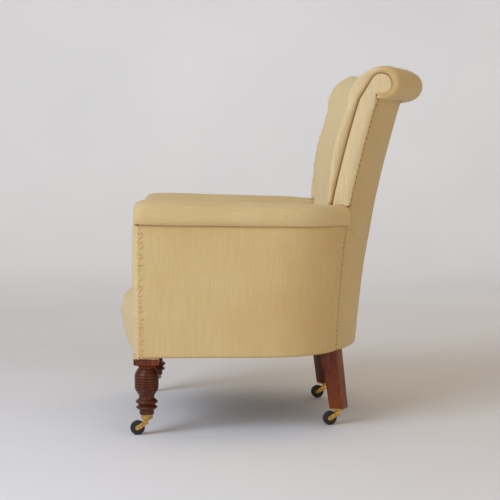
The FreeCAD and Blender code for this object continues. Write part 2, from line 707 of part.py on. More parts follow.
def keyhole(x, low, rear_cut=0):
    """Side outline of the back's end at a distance from the centre line: a curved strip and a disc."""
    shift = sag(x)
    cy, cz = float(SCROLL_Y) - shift, float(SCROLL_Z) - crest_fall(x)
    neck, disc = float(NECK_Z), float(s.scroll_wood_radius)
    middle, quarter = (low + neck) / 2, (neck - low) / 4

    def rear_at(height):
        return back_y(height) - shift - rear_cut

    def front_at(height):
        return strip_front(height) - shift

    hook, tangent = float(s.scroll_hook_angle) - float(s.hook_lead), float(s.scroll_tangent_angle)
    turns = [hook + (tangent - hook) * step / 4 for step in range(5)]
    rim = [around(cy, cz, disc, turn) for turn in turns]
    return [(front_at(low), low), (rear_at(low), low, rear_at(middle), middle), (rear_at(neck), neck),
            rim[0] + rim[1], rim[2] + rim[3], rim[4],
            (front_at(neck), neck, front_at(middle + quarter), middle + quarter),
            (front_at(middle), middle, front_at(middle - quarter), middle - quarter)]


def loft_across(body, name, outer, inner, low, rear_cut):
    """Loft a keyhole outline between two places across the chair, so that it follows the barrel."""
    sketches = []
    for label, place_x in (("outer", outer), ("inner", inner)):
        sketch = make_sketch(body, "%s_%s_outline" % (name, label), "YZ_Plane", place_x)
        x = abs(float(place_x))
        slope = math.cos(math.asin(x / float(s.barrel_radius)))
        draw_outline(sketch, keyhole(x, low, rear_cut / slope))
        sketches.append(sketch)
    loft = body.newObject("PartDesign::AdditiveLoft", name)
    loft.Profile = sketches[0]
    loft.Sections = sketches[1:]
    loft.Ruled = True
    body.Tip = loft


def back_post(side_name, side):
    """A sawn back post with a scrolled top, standing on the side rail."""
    body = make_body("back_post_" + side_name)
    outer = POST_X * side
    inner = (POST_X - s.post_thickness) * side
    loft_across(body, "post", outer, inner, float(RAIL_TOP), float(s.back_cover_thickness + s.seat_gap))
    return body


def scroll_facing(side_name, side):
    """A thin keyhole-shaped facing on the end of the back."""
    body = make_body("scroll_facing_" + side_name)
    inner = POST_X * side
    outer = (POST_X + s.facing_thickness) * side
    loft_across(body, "facing", outer, inner, float(s.arm_rear_height + s.wing_gap), 0)
    return body


def stations(half, count):
    """Evenly spaced places across the chair from one side to the other."""
    return [half * (2 * step / (count - 1) - 1) for step in range(count)]


def scroll_rail():
    """The round wooden rail inside the top roll, curved with the back between the posts."""
    half = float(POST_X - s.post_thickness)
    radius = float(s.scroll_wood_radius)
    wires = []
    for x in stations(half, 7):
        y, z = float(SCROLL_Y) - sag(x), float(SCROLL_Z) - crest_fall(x)
        quarter = [Vector(x, *around(y, z, radius, angle)) for angle in (0, 60, 120, 180, 240, 300)]
        wires.append(closed_wire([
            (quarter[0], quarter[1]), (quarter[2], quarter[3]), (quarter[4], quarter[5])]))
    solid_piece("scroll_rail", Part.makeLoft(wires, True))


def curved_band(half, front_y, depth, low, high):
    """A band that follows the barrel between the posts, its front face at a place on the centre line."""
    def at(x, back):
        return Vector(x, front_y + back - sag(x), low)
    wire = closed_wire([(at(-half, 0), at(0, 0)), at(half, 0), (at(half, depth), at(0, depth)),
                        at(-half, depth)])
    return Part.Face(wire).extrude(Vector(0, 0, high - low))


def lower_back_rail():
    """The curved rail across the posts at the tuck of the seat."""
    low = float(s.lower_rail_base)
    high = low + float(s.lower_rail_height)
    front = back_y(high) - float(s.strip_width)
    half = float(POST_X - s.post_thickness)
    solid_piece("lower_back_rail", curved_band(half, front, float(s.lower_rail_depth), low, high))


# How far below the scroll rail's centre the stays end, and how far ahead of it, as shares of its radius
STAY_TOP_SHARE, STAY_LEAN_SHARE = 0.8, 0.45


def back_stays():
    """Two upright stays from the back rail to the scroll rail."""
    shapes = []
    for side in (-1, 1):
        x = float(s.stay_spacing) / 2 * side
        half = float(s.stay_width) / 2
        gap = float(s.back_cover_thickness) + sag(x + half * side) - sag(x) + float(s.roll_gap)
        low = float(RAIL_TOP)
        neck = float(NECK_Z)
        top = float(SCROLL_Z) - crest_fall(x) - float(s.scroll_wood_radius) * STAY_TOP_SHARE
        depth = float(s.stay_depth)

        def at(height, back):
            return Vector(x - half, back_y(height) - sag(x) - gap - back, height)

        middle = (low + neck) / 2
        head = Vector(x - half, float(SCROLL_Y) - sag(x) - float(s.scroll_wood_radius) * STAY_LEAN_SHARE, top)
        wire = closed_wire([(at(low, 0), at(middle, 0)), at(neck, 0), head, head - Vector(0, depth, 0),
                            (at(neck, depth), at(middle, depth)), at(low, depth)])
        shapes.append(Part.Face(wire).extrude(Vector(float(s.stay_width), 0, 0)))
    return shapes


def back_frame():
    """The stays, cut where the scroll rail and the lower rail pass."""
    rail = doc.getObject("scroll_rail").Shape
    lower = doc.getObject("lower_back_rail").Shape
    solid_piece("back_stays", Part.makeCompound([stay.cut(rail).cut(lower) for stay in back_stays()]))


def back_webbing():
    """Strips of webbing across the front of the posts, which carry the stuffing of the back."""
    strips = []
    half = float(POST_X - s.post_thickness / 3)
    start = float(s.roll_gap)
    for count in range(int(s.back_web_count)):
        low = float(s.back_web_base + s.back_web_pitch * count)
        high = low + float(s.back_web_width)
        thick = float(s.back_web_thickness)

        def at(x, height, back):
            return Vector(x, strip_front(height) - sag(x) - start - back, height)

        wires = []
        for height in (low, high):
            wires.append(closed_wire([
                (at(-half, height, thick), at(0, height, thick)), at(half, height, thick),
                (at(half, height, 0), at(0, height, 0)), at(-half, height, 0)]))
        strips.append(Part.makeLoft(wires, True))
    return strips


# Back upholstery

def inside_back_section(x):
    """Side outline of the padded back at a distance from the centre line, as a closed wire."""
    shift = sag(x)
    cy, cz = float(SCROLL_Y) - shift, float(SCROLL_Z) - crest_fall(x)
    low, neck = float(s.back_pad_bottom), float(NECK_Z)
    middle, quarter = (low + neck) / 2, (neck - low) / 4
    arm = float(s.arm_rear_height)
    inside = float(s.scroll_wood_radius + s.roll_gap)
    outside = roll_radius(x)
    skin = float(s.roll_gap * 2 + s.back_web_thickness)
    share = (x / float(WING_X)) ** 2
    thick = float(s.back_stuffing) + share * float(s.wing_stuffing - s.back_stuffing)
    lumbar = float(s.back_stuffing + s.lumbar_bulge)
    arm_thick = lumbar + share * (float(s.wing_foot_stuffing) - lumbar)
    tuck_thick = (arm_thick + thick + skin + float(s.lumbar_bulge) / 2) / 2

    def frame_at(height, more):
        return Vector(x, strip_front(height) - shift - more, height)

    def ring(radius, angle):
        return Vector(x, *around(cy, cz, radius, angle))

    hook, tangent, front = float(s.scroll_hook_angle), float(s.scroll_tangent_angle), \
        float(s.roll_tangent_angle)
    neck_front = frame_at(neck, float(s.roll_stuffing_front))
    roll_front = ring(outside, front)
    over = (neck_front + roll_front) * 0.5 + Vector(0, -float(s.roll_bulge), float(s.roll_bulge) / 2)
    return closed_wire([
        (ring(outside, hook), ring(outside, hook / 2)), (ring(outside, 0), ring(outside, front / 2)),
        (roll_front, over),
        (neck_front, frame_at((arm + neck) / 2, thick)),
        (frame_at(arm, arm_thick), frame_at((arm + low) / 2, tuck_thick)),
        frame_at(low, thick + skin), (frame_at(low, skin), frame_at(middle - quarter, skin)),
        (frame_at(middle, skin), frame_at(middle + quarter, skin)),
        frame_at(neck, skin),
        (ring(inside, tangent), ring(inside, tangent / 2)), (ring(inside, 0), ring(inside, hook / 2)),
        ring(inside, hook)])


def inside_back():
    """The padded inside back with its scroll roll, notched where the arms run under its ends."""
    half = float(WING_X)
    pad = Part.makeLoft([inside_back_section(x) for x in stations(half, 9)], True)
    notch_top = float(s.arm_rear_height + s.wing_gap)
    inner = float(ARM_INNER_X - s.seat_gap)
    overrun = float(s.cut_overrun)
    front = float(FRONT_LEG_Y)
    notch = upright_box((inner, front, 0), (half + overrun, float(s.chair_depth), notch_top))
    pad = pad.cut(notch).cut(mirrored(notch))
    solid_piece("inside_back", pad)


def outside_back():
    """The curved cover panel of the back, from the bottom edge up under the roll."""
    thick = float(s.back_cover_thickness)
    low, top = float(s.under_edge_height), float(NECK_Z)
    wires = []
    for step in range(7):
        height = low + (top - low) * step / 6
        half = seam_x(height)

        def outer(x):
            return Vector(x, back_y(height) - sag(x), height)

        def inner(x):
            slope = math.cos(math.asin(x / float(s.barrel_radius)))
            return Vector(x, back_y(height) - sag(x) - thick / slope, height)

        wires.append(closed_wire([(outer(-half), outer(0)), outer(half), (inner(half), inner(0)),
                                  inner(-half)]))
    solid_piece("outside_back", Part.makeLoft(wires, True))


# Arms

def side_curve(height):
    """Radius and centre place of the side's rear curve at a height."""
    low, high = float(s.under_edge_height), float(s.roll_seam_rear_height)
    share = (height - low) / (high - low)
    start = float(BEND_Y) + share * float(s.rear_curve_depth - s.rear_curve_top_depth)
    inward = float(SIDE_X) - seam_x(height)
    back = seam_y(height) - start
    return (inward ** 2 + back ** 2) / (2 * inward), start


def side_x_at(y, height):
    """How far out the side panel lies at a place along it."""
    radius, start = side_curve(height)
    if y <= start:
        return float(SIDE_X)
    back = min(y - start, seam_y(height) - start)
    return float(SIDE_X) - radius + math.sqrt(radius ** 2 - back ** 2)


def under_seam(margin):
    """Everything below the sloping line where the roll meets the side panel."""
    far = float(s.chair_height)
    front, rear = float(FRONT_LEG_Y - s.arm_front_reach), wing_front_y()
    drop = float(s.roll_seam_height - s.roll_seam_rear_height)
    high = float(s.roll_seam_height) - margin
    wire = closed_wire([
        Vector(-far, -far, 0), Vector(-far, -far, high), Vector(-far, front, high),
        Vector(-far, rear, high - drop), Vector(-far, far, high - drop), Vector(-far, far, 0)])
    return Part.Face(wire).extrude(Vector(far * 2, 0, 0))


def outside_arm():
    """The cover panel of the side: flat, then curved in to the seam at the back."""
    thick = float(s.arm_cover_thickness)
    front = float(FRONT_LEG_Y - s.arm_front_reach + s.arm_facing_thickness)
    wires = []
    low, high = float(s.under_edge_height), float(s.roll_seam_height + s.arm_facing_thickness)
    for step in range(4):
        height = low + (high - low) * step / 3
        radius, start = side_curve(height)
        centre = float(SIDE_X) - radius
        end_x = seam_x(height) + float(s.seat_gap)

        def arc(ring, share):
            turn = math.acos((end_x - centre) / ring) * share
            return Vector(centre + ring * math.cos(turn), start + ring * math.sin(turn), height)

        outer, inner = radius, radius - thick
        wires.append(closed_wire([
            Vector(float(SIDE_X), front, height), (arc(outer, 0), arc(outer, 0.5)), arc(outer, 1),
            (arc(inner, 1), arc(inner, 0.5)), arc(inner, 0), Vector(float(SIDE_X) - thick, front, height)]))
    return Part.makeLoft(wires, True).common(under_seam(float(s.seat_gap)))


def post_front_y(height):
    """Where the front of the post's outer face lies at a height."""
    return strip_front(height) - sag(float(POST_X))


def wing_front_y():
    """Where the padded end of the back comes down on the arm."""
    return post_front_y(float(s.arm_rear_height)) - float(s.wing_foot_stuffing)


# How the rounded arm top is drawn, as shares of the shoulder's drop
SHOULDER_OUT_SHARE, SHOULDER_FALL_SHARE, SHOULDER_IN_SHARE, SHOULDER_DEPTH_SHARE = 0.3, 0.6, 0.7, 2.4


def arm_section(y, inset=0):
    """Cross outline of the padded arm at a place along it, as a closed wire."""
    front, rear = float(FRONT_LEG_Y - s.arm_front_reach), wing_front_y()
    share = min(max((y - front) / (rear - front), 0), 1)
    top = float(s.arm_height) + share * float(s.arm_rear_height - s.arm_height) - inset
    seam = float(s.roll_seam_height) + share * float(s.roll_seam_rear_height - s.roll_seam_height)
    under = seam - float(s.roll_seam_lap) * 2
    side = side_x_at(y, float(s.roll_seam_rear_height))
    outer = side + float(s.roll_overhang) - inset
    lap = side + float(s.roll_seam_lap) - inset / 2
    inner = float(ARM_INNER_X)
    shoulder = float(s.arm_shoulder_drop)
    low = float(s.arm_pad_bottom)
    half_up = (seam + top - shoulder) / 2

    def at(x, z):
        return Vector(x, y, z)

    inner_in = inner + inset / 2
    wide = (side + inner) / 2
    turn_in = shoulder * SHOULDER_IN_SHARE * (side - inner) / float(SIDE_X - ARM_INNER_X)
    foot = top - shoulder * SHOULDER_DEPTH_SHARE
    half_turn = (top - shoulder - foot) / 2
    radius = (turn_in ** 2 + half_turn ** 2 * 4) / (turn_in * 2)
    inward = radius - math.sqrt(radius ** 2 - half_turn ** 2)
    return closed_wire([
        at(side, low), at(side, under), (at(lap, under), at(outer, half_up)),
        (at(side + shoulder * SHOULDER_OUT_SHARE - inset, top - shoulder * SHOULDER_FALL_SHARE),
         at(wide, top)),
        (at(inner_in + turn_in, top - shoulder), at(inner_in + inward, foot + half_turn)),
        at(inner_in, foot), at(inner_in, low)])


def arm_hollow():
    """The space under the roll that the frame and the side panel fill, outside the inner padding."""
    gap = float(s.seat_gap)
    far = float(s.chair_height)
    inner = float(ARM_INNER_X + s.arm_stuffing)
    post = float(POST_X) + gap
    post_front = post_front_y(float(s.arm_pad_bottom)) - gap
    turn_in = post_front - float(s.arm_stuffing)
    spots = [(inner, -far), (inner, turn_in), (post, post_front), (post, far), (far, far), (far, -far)]
    plan = Part.Face(Part.makePolygon([Vector(x, y, 0) for x, y in spots + spots[:1]]))
    return plan.extrude(Vector(0, 0, far)).common(under_seam(0))


# Places of the arm's sections along its rear curve, as shares of that curve's depth
ARM_STATION_SHARES = (0, 0.35, 0.65, 0.85, 1)
# How the front end is rounded: its face's inset, and where and how far in the next section lies
NOSE_FACE_SHARE, NOSE_STEP_SHARE, NOSE_STEP_INSET_SHARE = 0.8, 0.35, 0.3


def arm_pad():
    """The inside arm, the arm top and the half-round roll in one padded piece."""
    front = float(FRONT_LEG_Y - s.arm_front_reach)
    rounding = float(s.arm_front_round)
    bend = float(BACK_FOOT_Y - s.rear_curve_top_depth)
    rear = seam_y(float(s.arm_rear_height)) - float(s.seat_gap)
    places = [front + rounding, (front + rounding + bend) / 2]
    places += [bend + (rear - bend) * share for share in ARM_STATION_SHARES]
    body = Part.makeLoft([arm_section(y) for y in places], True)
    nose = Part.makeLoft([arm_section(front, rounding * NOSE_FACE_SHARE),
                          arm_section(front + rounding * NOSE_STEP_SHARE, rounding * NOSE_STEP_INSET_SHARE),
                          arm_section(front + rounding)], True, True)
    gap = float(s.seat_gap)
    post_front = post_front_y(float(s.arm_pad_bottom)) - gap
    post_room = upright_box((0, post_front, 0), (float(POST_X) + gap, float(s.chair_depth),
                                                 float(s.chair_height)))
    facing_rear = front + float(s.arm_facing_thickness)
    facing_room = upright_box((0, front * 2, 0),
                              (float(s.body_width), facing_rear, float(s.roll_seam_height)))
    return body.fuse(nose).cut(arm_hollow()).cut(post_room).cut(facing_room).cut(arm_rail(gap))


# How full the facing is at its foot, its middle and its top, as shares of the dome
FACING_DOME_SHARES = (0.7, 1, 0.8)


def arm_facing():
    """The padded front of the arm below the roll."""
    low = float(s.under_edge_height)
    high = float(s.roll_seam_height - s.seat_gap)
    inner = float(ARM_INNER_X)
    outer = float(SIDE_X)
    rear = float(FRONT_LEG_Y - s.arm_front_reach + s.arm_facing_thickness) - float(s.seat_gap)
    edge = float(s.arm_facing_thickness) / 2
    dome = float(s.arm_facing_dome)
    middle = (inner + outer) / 2
    wires = []
    for height, share in zip((low, (low + high) / 2, high), FACING_DOME_SHARES):
        wires.append(closed_wire([
            Vector(inner, rear, height), Vector(outer, rear, height),
            (Vector(outer, rear - edge, height), Vector(middle, rear - edge - dome * share, height)),
            Vector(inner, rear - edge, height)]))
    return Part.makeLoft(wires, True)


def arm_woodwork(side_name, side):
    """The stump over the front leg and the rail that runs back to the post."""
    stump = make_body("arm_stump_" + side_name)
    front = FRONT_LEG_Y - s.arm_front_reach + s.arm_facing_thickness
    outer = SIDE_X - s.arm_cover_thickness - s.seat_gap
    inner = outer - s.stump_width
    rear = front + s.stump_depth
    low_x, high_x = (inner, outer) if side > 0 else (-outer, -inner)
    sketch = make_sketch(stump, "plan", "XY_Plane", RAIL_TOP)
    draw_outline(sketch, rectangle(low_x, front, high_x, rear))
    rail_top = s.roll_seam_rear_height + s.arm_rail_thickness - s.seat_gap
    rail_low = rail_top - s.arm_rail_thickness
    add_pad(stump, "stump", sketch, rail_low - RAIL_TOP)


def arm_rail(room=0):
    """The wooden arm from the stump to the post, sawn to the curve of the side, with room around it."""
    gap = float(s.seat_gap)
    height = float(s.roll_seam_rear_height)
    front = float(FRONT_LEG_Y - s.arm_front_reach + s.arm_facing_thickness) - room
    radius, bend = side_curve(height)
    cover = float(s.arm_cover_thickness)
    outer = float(SIDE_X) - cover - gap + room
    centre = float(SIDE_X) - radius
    ring = radius - cover - gap + room
    inner = float(ARM_INNER_X + s.arm_stuffing) + gap - room
    post_front = post_front_y(height) - gap - room
    end_y = post_front + float(s.strip_width) / 2 + room * 2
    end = math.asin((end_y - bend) / ring)

    def arc(share):
        return Vector(centre + ring * math.cos(end * share), bend + ring * math.sin(end * share), 0)

    last = float(POST_X) + gap
    base = height - gap - room
    wire = closed_wire([Vector(outer, front, 0), (Vector(outer, bend, 0), arc(0.5)), arc(1),
                        Vector(last, end_y, 0), Vector(last, post_front, 0),
                        Vector(inner, post_front, 0), Vector(inner, front, 0)])
    shape = Part.Face(wire).extrude(Vector(0, 0, float(s.arm_rail_thickness) + room * 2))
    shape.translate(Vector(0, 0, base))
    return shape


def arms():
    """Both arms: the left one is made and the right one mirrored."""
    makers = (("arm_pad", arm_pad), ("outside_arm", outside_arm), ("arm_facing", arm_facing),
              ("arm_rail", arm_rail))
    for name, maker in makers:
        shape = maker()
        solid_piece(name + "_left", shape)
        solid_piece(name + "_right", mirrored(shape))
    for side_name, side in SIDES:
        arm_woodwork(side_name, side)


# Seat

# The hessian's plan: where its sides end, how wide its corner is and how far back, and how much less
# of the slope its side ends and its corners take
HESSIAN_SIDE_SHARE, HESSIAN_CORNER_SHARE, HESSIAN_BACK_SHARE = 0.7, 0.52, 0.86
HESSIAN_END_SLOPE_SHARE, HESSIAN_CORNER_SLOPE_SHARE = 0.3, 0.4


def hessian_frustum(grow):
    """The closed form under the hessian: its foot on the rails and its top over the springs."""
    half = float(SIDE_X - s.arm_cover_thickness) - float(s.rail_thickness) / 2
    front = float(FRONT_LEG_Y) + float(s.leg_head_depth) / 4
    slope = float(s.hessian_slope)
    rear = float(BARREL_Y + s.barrel_radius - s.back_cover_thickness) - float(s.rail_thickness) / 2
    low, high = float(RAIL_TOP), float(s.hessian_height) + grow

    def ring(inset, height):
        span = rear - front
        corner_inset = inset * HESSIAN_CORNER_SLOPE_SHARE
        spots = [(half - inset, front + inset),
                 (half - inset, front + span * HESSIAN_SIDE_SHARE - inset * HESSIAN_END_SLOPE_SHARE),
                 (half * HESSIAN_CORNER_SHARE - corner_inset,
                  front + span * HESSIAN_BACK_SHARE - corner_inset),
                 (0, rear - inset)]
        left = [Vector(x, y, height) for x, y in spots]
        right = [Vector(-x, y, height) for x, y in spots[-2::-1]]
        return Part.makePolygon(left + right + left[:1])

    return Part.makeLoft([ring(-grow, low), ring(slope - grow, high)], True, True)


def hessian():
    """The sheet of hessian that covers the springs and is tacked to the rails."""
    sheet_form = hessian_frustum(0).cut(hessian_frustum(-float(s.hessian_thickness)))
    for side_name, _ in SIDES:
        for label in ("arm_stump_", "back_post_"):
            sheet_form = sheet_form.cut(doc.getObject(label + side_name).Shape)
    return sheet_form


# How much of the bow the border's foot takes, and how its lower and upper halves swell
FOOT_BOW_SHARE, BORDER_LOW_SHARE, BORDER_HIGH_SHARE = 0.8, 0.3, 0.4


def seat_section(x):
    """Side outline of the seat at a distance from the centre line, as a closed wire."""
    half = float(ARM_INNER_X)
    share = (x / half) ** 2
    bow = float(s.seat_bow) * share
    top = float(s.seat_height) - share * float(s.seat_height - s.seat_side_height)
    front = float(FRONT_LEG_Y)
    nose = front - float(s.nose_reach) + bow
    foot = front - float(s.border_foot_reach) + bow * FOOT_BOW_SHARE
    low = float(s.under_edge_height)
    rail_half = float(LEG_X - s.leg_head_width / 2)
    rail_front = front + float(s.leg_head_setback - s.leg_block / 2)
    rail_face = rail_front - float(s.front_rail_bow) * (1 - (x / rail_half) ** 2) - float(s.seat_gap) * 3
    rear = strip_front(float(s.back_pad_bottom)) - sag(x) - float(
        s.back_stuffing + s.roll_gap * 2 + s.back_web_thickness + s.seat_gap + s.lumbar_bulge / 2)
    rear += float(s.back_stuffing - s.wing_stuffing) * (x / float(WING_X)) ** 2
    edge_y = front - float(s.seat_edge_reach) + bow
    edge_z = float(s.seat_edge_height) - share * float(s.seat_height - s.seat_side_height) / 2
    under = float(RAIL_TOP + s.seat_gap)

    def at(y, z):
        return Vector(x, y, z)

    upper_nose_z = (float(s.nose_height) + edge_z) / 2
    middle_y = (edge_y + rear) / 2
    return closed_wire([
        (at(foot, low), at(nose + (foot - nose) * BORDER_LOW_SHARE, (low + float(s.nose_height)) / 2)),
        (at(nose, float(s.nose_height)), at(nose + (edge_y - nose) * BORDER_HIGH_SHARE, upper_nose_z)),
        (at(edge_y, edge_z), at(middle_y, top)), at(rear, float(s.seat_rear_height)), at(rear, under),
        at(rail_face, under), at(rail_face, low)])


def seat():
    """The stuffed seat with its crown and bowed front border, over the hessian."""
    half = float(ARM_INNER_X - s.seat_side_gap)
    pad = Part.makeLoft([seat_section(x) for x in stations(half, 7)], True)
    solid_piece("seat_hessian", hessian())
    solid_piece("seat_pad", pad.cut(hessian_frustum(float(s.seat_gap))))


def seat_webbing():
    """Webbing under the springs, as many strips each way as the sheet says, tacked to the rails."""
    thick = float(s.web_thickness)
    width = float(s.web_width)
    low = float(RAIL_BASE) - thick
    front = float(FRONT_LEG_Y)
    rear = float(BARREL_Y + s.barrel_radius - s.back_cover_thickness) - float(s.rail_thickness) / 2
    half = float(SIDE_X - s.arm_cover_thickness) - float(s.rail_thickness) / 2
    lengthwise, crosswise = [], []
    for count in range(int(s.long_webs)):
        x = float(s.long_web_pitch) * (count - (float(s.long_webs) - 1) / 2)
        end = rear - sag(abs(x) + width / 2)
        lengthwise.append(upright_box((x - width / 2, front, low), (x + width / 2, end, low + thick)))
    for count in range(int(s.cross_webs)):
        y = SPRING_ROWS_Y + float(s.cross_web_pitch) * (count - (float(s.cross_webs) - 1) / 2)
        across = half - float(SIDE_X) + side_x_at(y + width / 2, float(s.under_edge_height))
        crosswise.append(upright_box((-across, y - width / 2, low - thick), (across, y + width / 2, low)))
    return lengthwise, crosswise


def coil_spring(low, high):
    """One waisted coil spring, lofted through six-sided wire sections set along the coil."""
    wire = float(s.spring_wire) / 2
    waist, widen = float(s.spring_radius_waist), float(s.spring_radius_top - s.spring_radius_waist)
    steps = int(s.spring_turns * s.spring_steps)
    sections = []
    for step in range(steps + 1):
        share = step / steps
        turn = 2 * math.pi * float(s.spring_turns) * share
        radius = waist + widen * (2 * share - 1) ** 2
        height = low + wire + (high - low - 2 * wire) * share
        spots = []
        for corner in range(6):
            angle = math.pi * corner / 3
            reach = radius + wire * math.cos(angle)
            rise = height + wire * math.sin(angle)
            spots.append(Vector(reach * math.cos(turn), reach * math.sin(turn), rise))
        sections.append(Part.makePolygon(spots + spots[:1]))
    return Part.makeLoft(sections, True, True)


def seat_springs():
    """Nine coil springs on the webbing, three rows of three."""
    low = float(RAIL_BASE)
    high = float(s.hessian_height - s.hessian_thickness - s.seat_gap)
    across, along = float(s.long_web_pitch) * 2, float(s.cross_web_pitch) * 2
    springs = []
    for row in (-1, 0, 1):
        for column in (-1, 0, 1):
            spring = coil_spring(low, high)
            spring.translate(Vector(column * across, SPRING_ROWS_Y + row * along, 0))
            springs.append(spring)
    return springs


def dust_cover():
    """The black cloth tacked under the frame, cut round the legs."""
    margin = float(s.dust_cover_margin)
    low = float(s.under_edge_height)
    half = float(SIDE_X) - margin
    block = float(LEG_X - s.leg_block / 2 - s.seat_gap)
    front = float(FRONT_LEG_Y) - margin
    behind = float(FRONT_LEG_Y + s.leg_head_setback - s.leg_block / 2 + s.leg_head_depth + s.seat_gap)
    bend = float(BEND_Y)
    rear = float(BARREL_Y + s.barrel_radius) - margin
    radius, end = corner_circle()

    def corner(share, side):
        turn = math.radians(end * share)
        ring = radius - margin
        x = float(SIDE_X) - radius + ring * math.cos(turn)
        return Vector(x * side, bend + ring * math.sin(turn), low)

    wire = closed_wire([
        Vector(block, front, low), Vector(block, behind, low), Vector(half, behind, low),
        (Vector(half, bend, low), corner(0.5, 1)), (corner(1, 1), Vector(0, rear, low)),
        (corner(1, -1), corner(0.5, -1)), Vector(-half, bend, low), Vector(-half, behind, low),
        Vector(-block, behind, low), Vector(-block, front, low)])
    cloth = Part.Face(wire).extrude(Vector(0, 0, float(s.dust_cover_thickness)))
    for side_name, _ in SIDES:
        cloth = cloth.cut(doc.getObject("rear_leg_" + side_name).Shape)
    return cloth


def build():
    """Make every piece of the chair."""
    for side_name, side in SIDES:
        front_leg(side_name, side)
        rear_leg(side_name, side)
        side_seat_rail(side_name, side)
        back_post(side_name, side)
        scroll_facing(side_name, side)
    front_seat_rail()
    back_seat_rail()
    corner_blocks()
    castors()
    scroll_rail()
    lower_back_rail()
    back_frame()
    solid_piece("back_webbing", Part.makeCompound(back_webbing()))
    inside_back()
    outside_back()
    arms()
    doc.recompute()
    seat()
    lengthwise, crosswise = seat_webbing()
    solid_piece("seat_webbing_lengthwise", Part.makeCompound(lengthwise))
    solid_piece("seat_webbing_crosswise", Part.makeCompound(crosswise))
    solid_piece("seat_springs", Part.makeCompound(seat_springs()))
    solid_piece("dust_cover", dust_cover())


def export():
    """Check every piece and write each one under its label."""
    doc.recompute()
    faulty = [item.Label for item in doc.Objects if {"Invalid", "Error"} & set(item.State)]
    if faulty:
        raise ValueError("failed objects: " + ", ".join(faulty))
    os.makedirs("parts", exist_ok=True)
    pieces = [item for item in doc.Objects if item.TypeId in ("PartDesign::Body", "Part::Feature")
              and item.getParentGeoFeatureGroup() is None]
    for item in pieces:
        shape = item.Shape
        if shape.isNull() or not shape.isValid() or not shape.Solids:
            raise ValueError("bad shape: " + item.Label)
        shape.exportStep("parts/%s.step" % item.Label)
    print("pieces written:", len(pieces))


build()
export()
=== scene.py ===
import json
import logging
import math
from collections.abc import Callable
from dataclasses import dataclass, field
from enum import Enum

import bmesh
import bpy
import numpy as np
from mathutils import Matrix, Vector, noise
from mathutils.bvhtree import BVHTree


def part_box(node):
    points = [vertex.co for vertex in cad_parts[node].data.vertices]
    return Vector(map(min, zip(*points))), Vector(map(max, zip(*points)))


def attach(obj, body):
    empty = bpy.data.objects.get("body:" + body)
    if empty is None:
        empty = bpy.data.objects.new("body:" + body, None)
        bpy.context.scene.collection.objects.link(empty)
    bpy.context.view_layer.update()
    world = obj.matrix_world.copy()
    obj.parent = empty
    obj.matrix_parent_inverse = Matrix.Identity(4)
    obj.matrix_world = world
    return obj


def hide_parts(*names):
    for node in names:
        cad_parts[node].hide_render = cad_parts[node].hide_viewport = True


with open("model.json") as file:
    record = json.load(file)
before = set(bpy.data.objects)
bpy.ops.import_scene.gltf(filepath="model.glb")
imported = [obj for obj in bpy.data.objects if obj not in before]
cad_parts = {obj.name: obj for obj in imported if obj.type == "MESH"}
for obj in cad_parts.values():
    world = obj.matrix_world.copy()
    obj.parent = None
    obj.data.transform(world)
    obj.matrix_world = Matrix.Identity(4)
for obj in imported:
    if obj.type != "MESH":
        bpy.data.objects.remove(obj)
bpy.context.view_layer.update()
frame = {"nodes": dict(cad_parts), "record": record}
log = logging.getLogger("armchair")
MM = 0.001
BODY = "chair"
SIDES = (("left", 1.0), ("right", -1.0))


def linear(hex_colour: str) -> tuple[float, float, float, float]:
    """Turn an sRGB hex colour to linear values.

    Args:
        hex_colour: six hex digits, with or without a leading mark.

    Returns:
        Linear red, green and blue, and an alpha of one.
    """
    digits = hex_colour.lstrip("#")
    parts = [int(digits[at:at + 2], 16) / 255 for at in (0, 2, 4)]
    values = [part / 12.92 if part <= 0.04045 else ((part + 0.055) / 1.055) ** 2.4 for part in parts]
    return values[0], values[1], values[2], 1.0


def add(tree: bpy.types.NodeTree, kind: str, settings: dict | None = None, **inputs) -> bpy.types.Node:
    """Add a node with its settings and links.

    Args:
        tree: the node tree to add to.
        kind: the node's type name.
        settings: properties of the node itself.
        inputs: socket values or output sockets, by socket name with _ for a space, or i0, i1 by place.

    Returns:
        The new node.
    """
    node = tree.nodes.new(kind)
    for name, value in (settings or {}).items():
        setattr(node, name, value)
    for name, value in inputs.items():
        socket = node.inputs[int(name[1:])] if name[0] == "i" and name[1:].isdigit() \
            else node.inputs[name.replace("_", " ")]
        if isinstance(value, bpy.types.NodeSocket):
            tree.links.new(value, socket)
        else:
            socket.default_value = value
    return node


def new_material(name: str) -> tuple[bpy.types.Material, bpy.types.NodeTree, bpy.types.Node]:
    """Start a node material.

    Args:
        name: the finish's own name.

    Returns:
        The material, its node tree and its shader node.
    """
    material = bpy.data.materials.new(name)
    material.use_nodes = True
    tree = material.node_tree
    return material, tree, next(node for node in tree.nodes if node.type == "BSDF_PRINCIPLED")


class Thread(Enum):
    """How the cloth lies on a piece: the way that its heavier threads run."""

    UPRIGHT = (0.0, 0.0, 0.0)
    FORE_AFT = (math.radians(90), 0.0, 0.0)


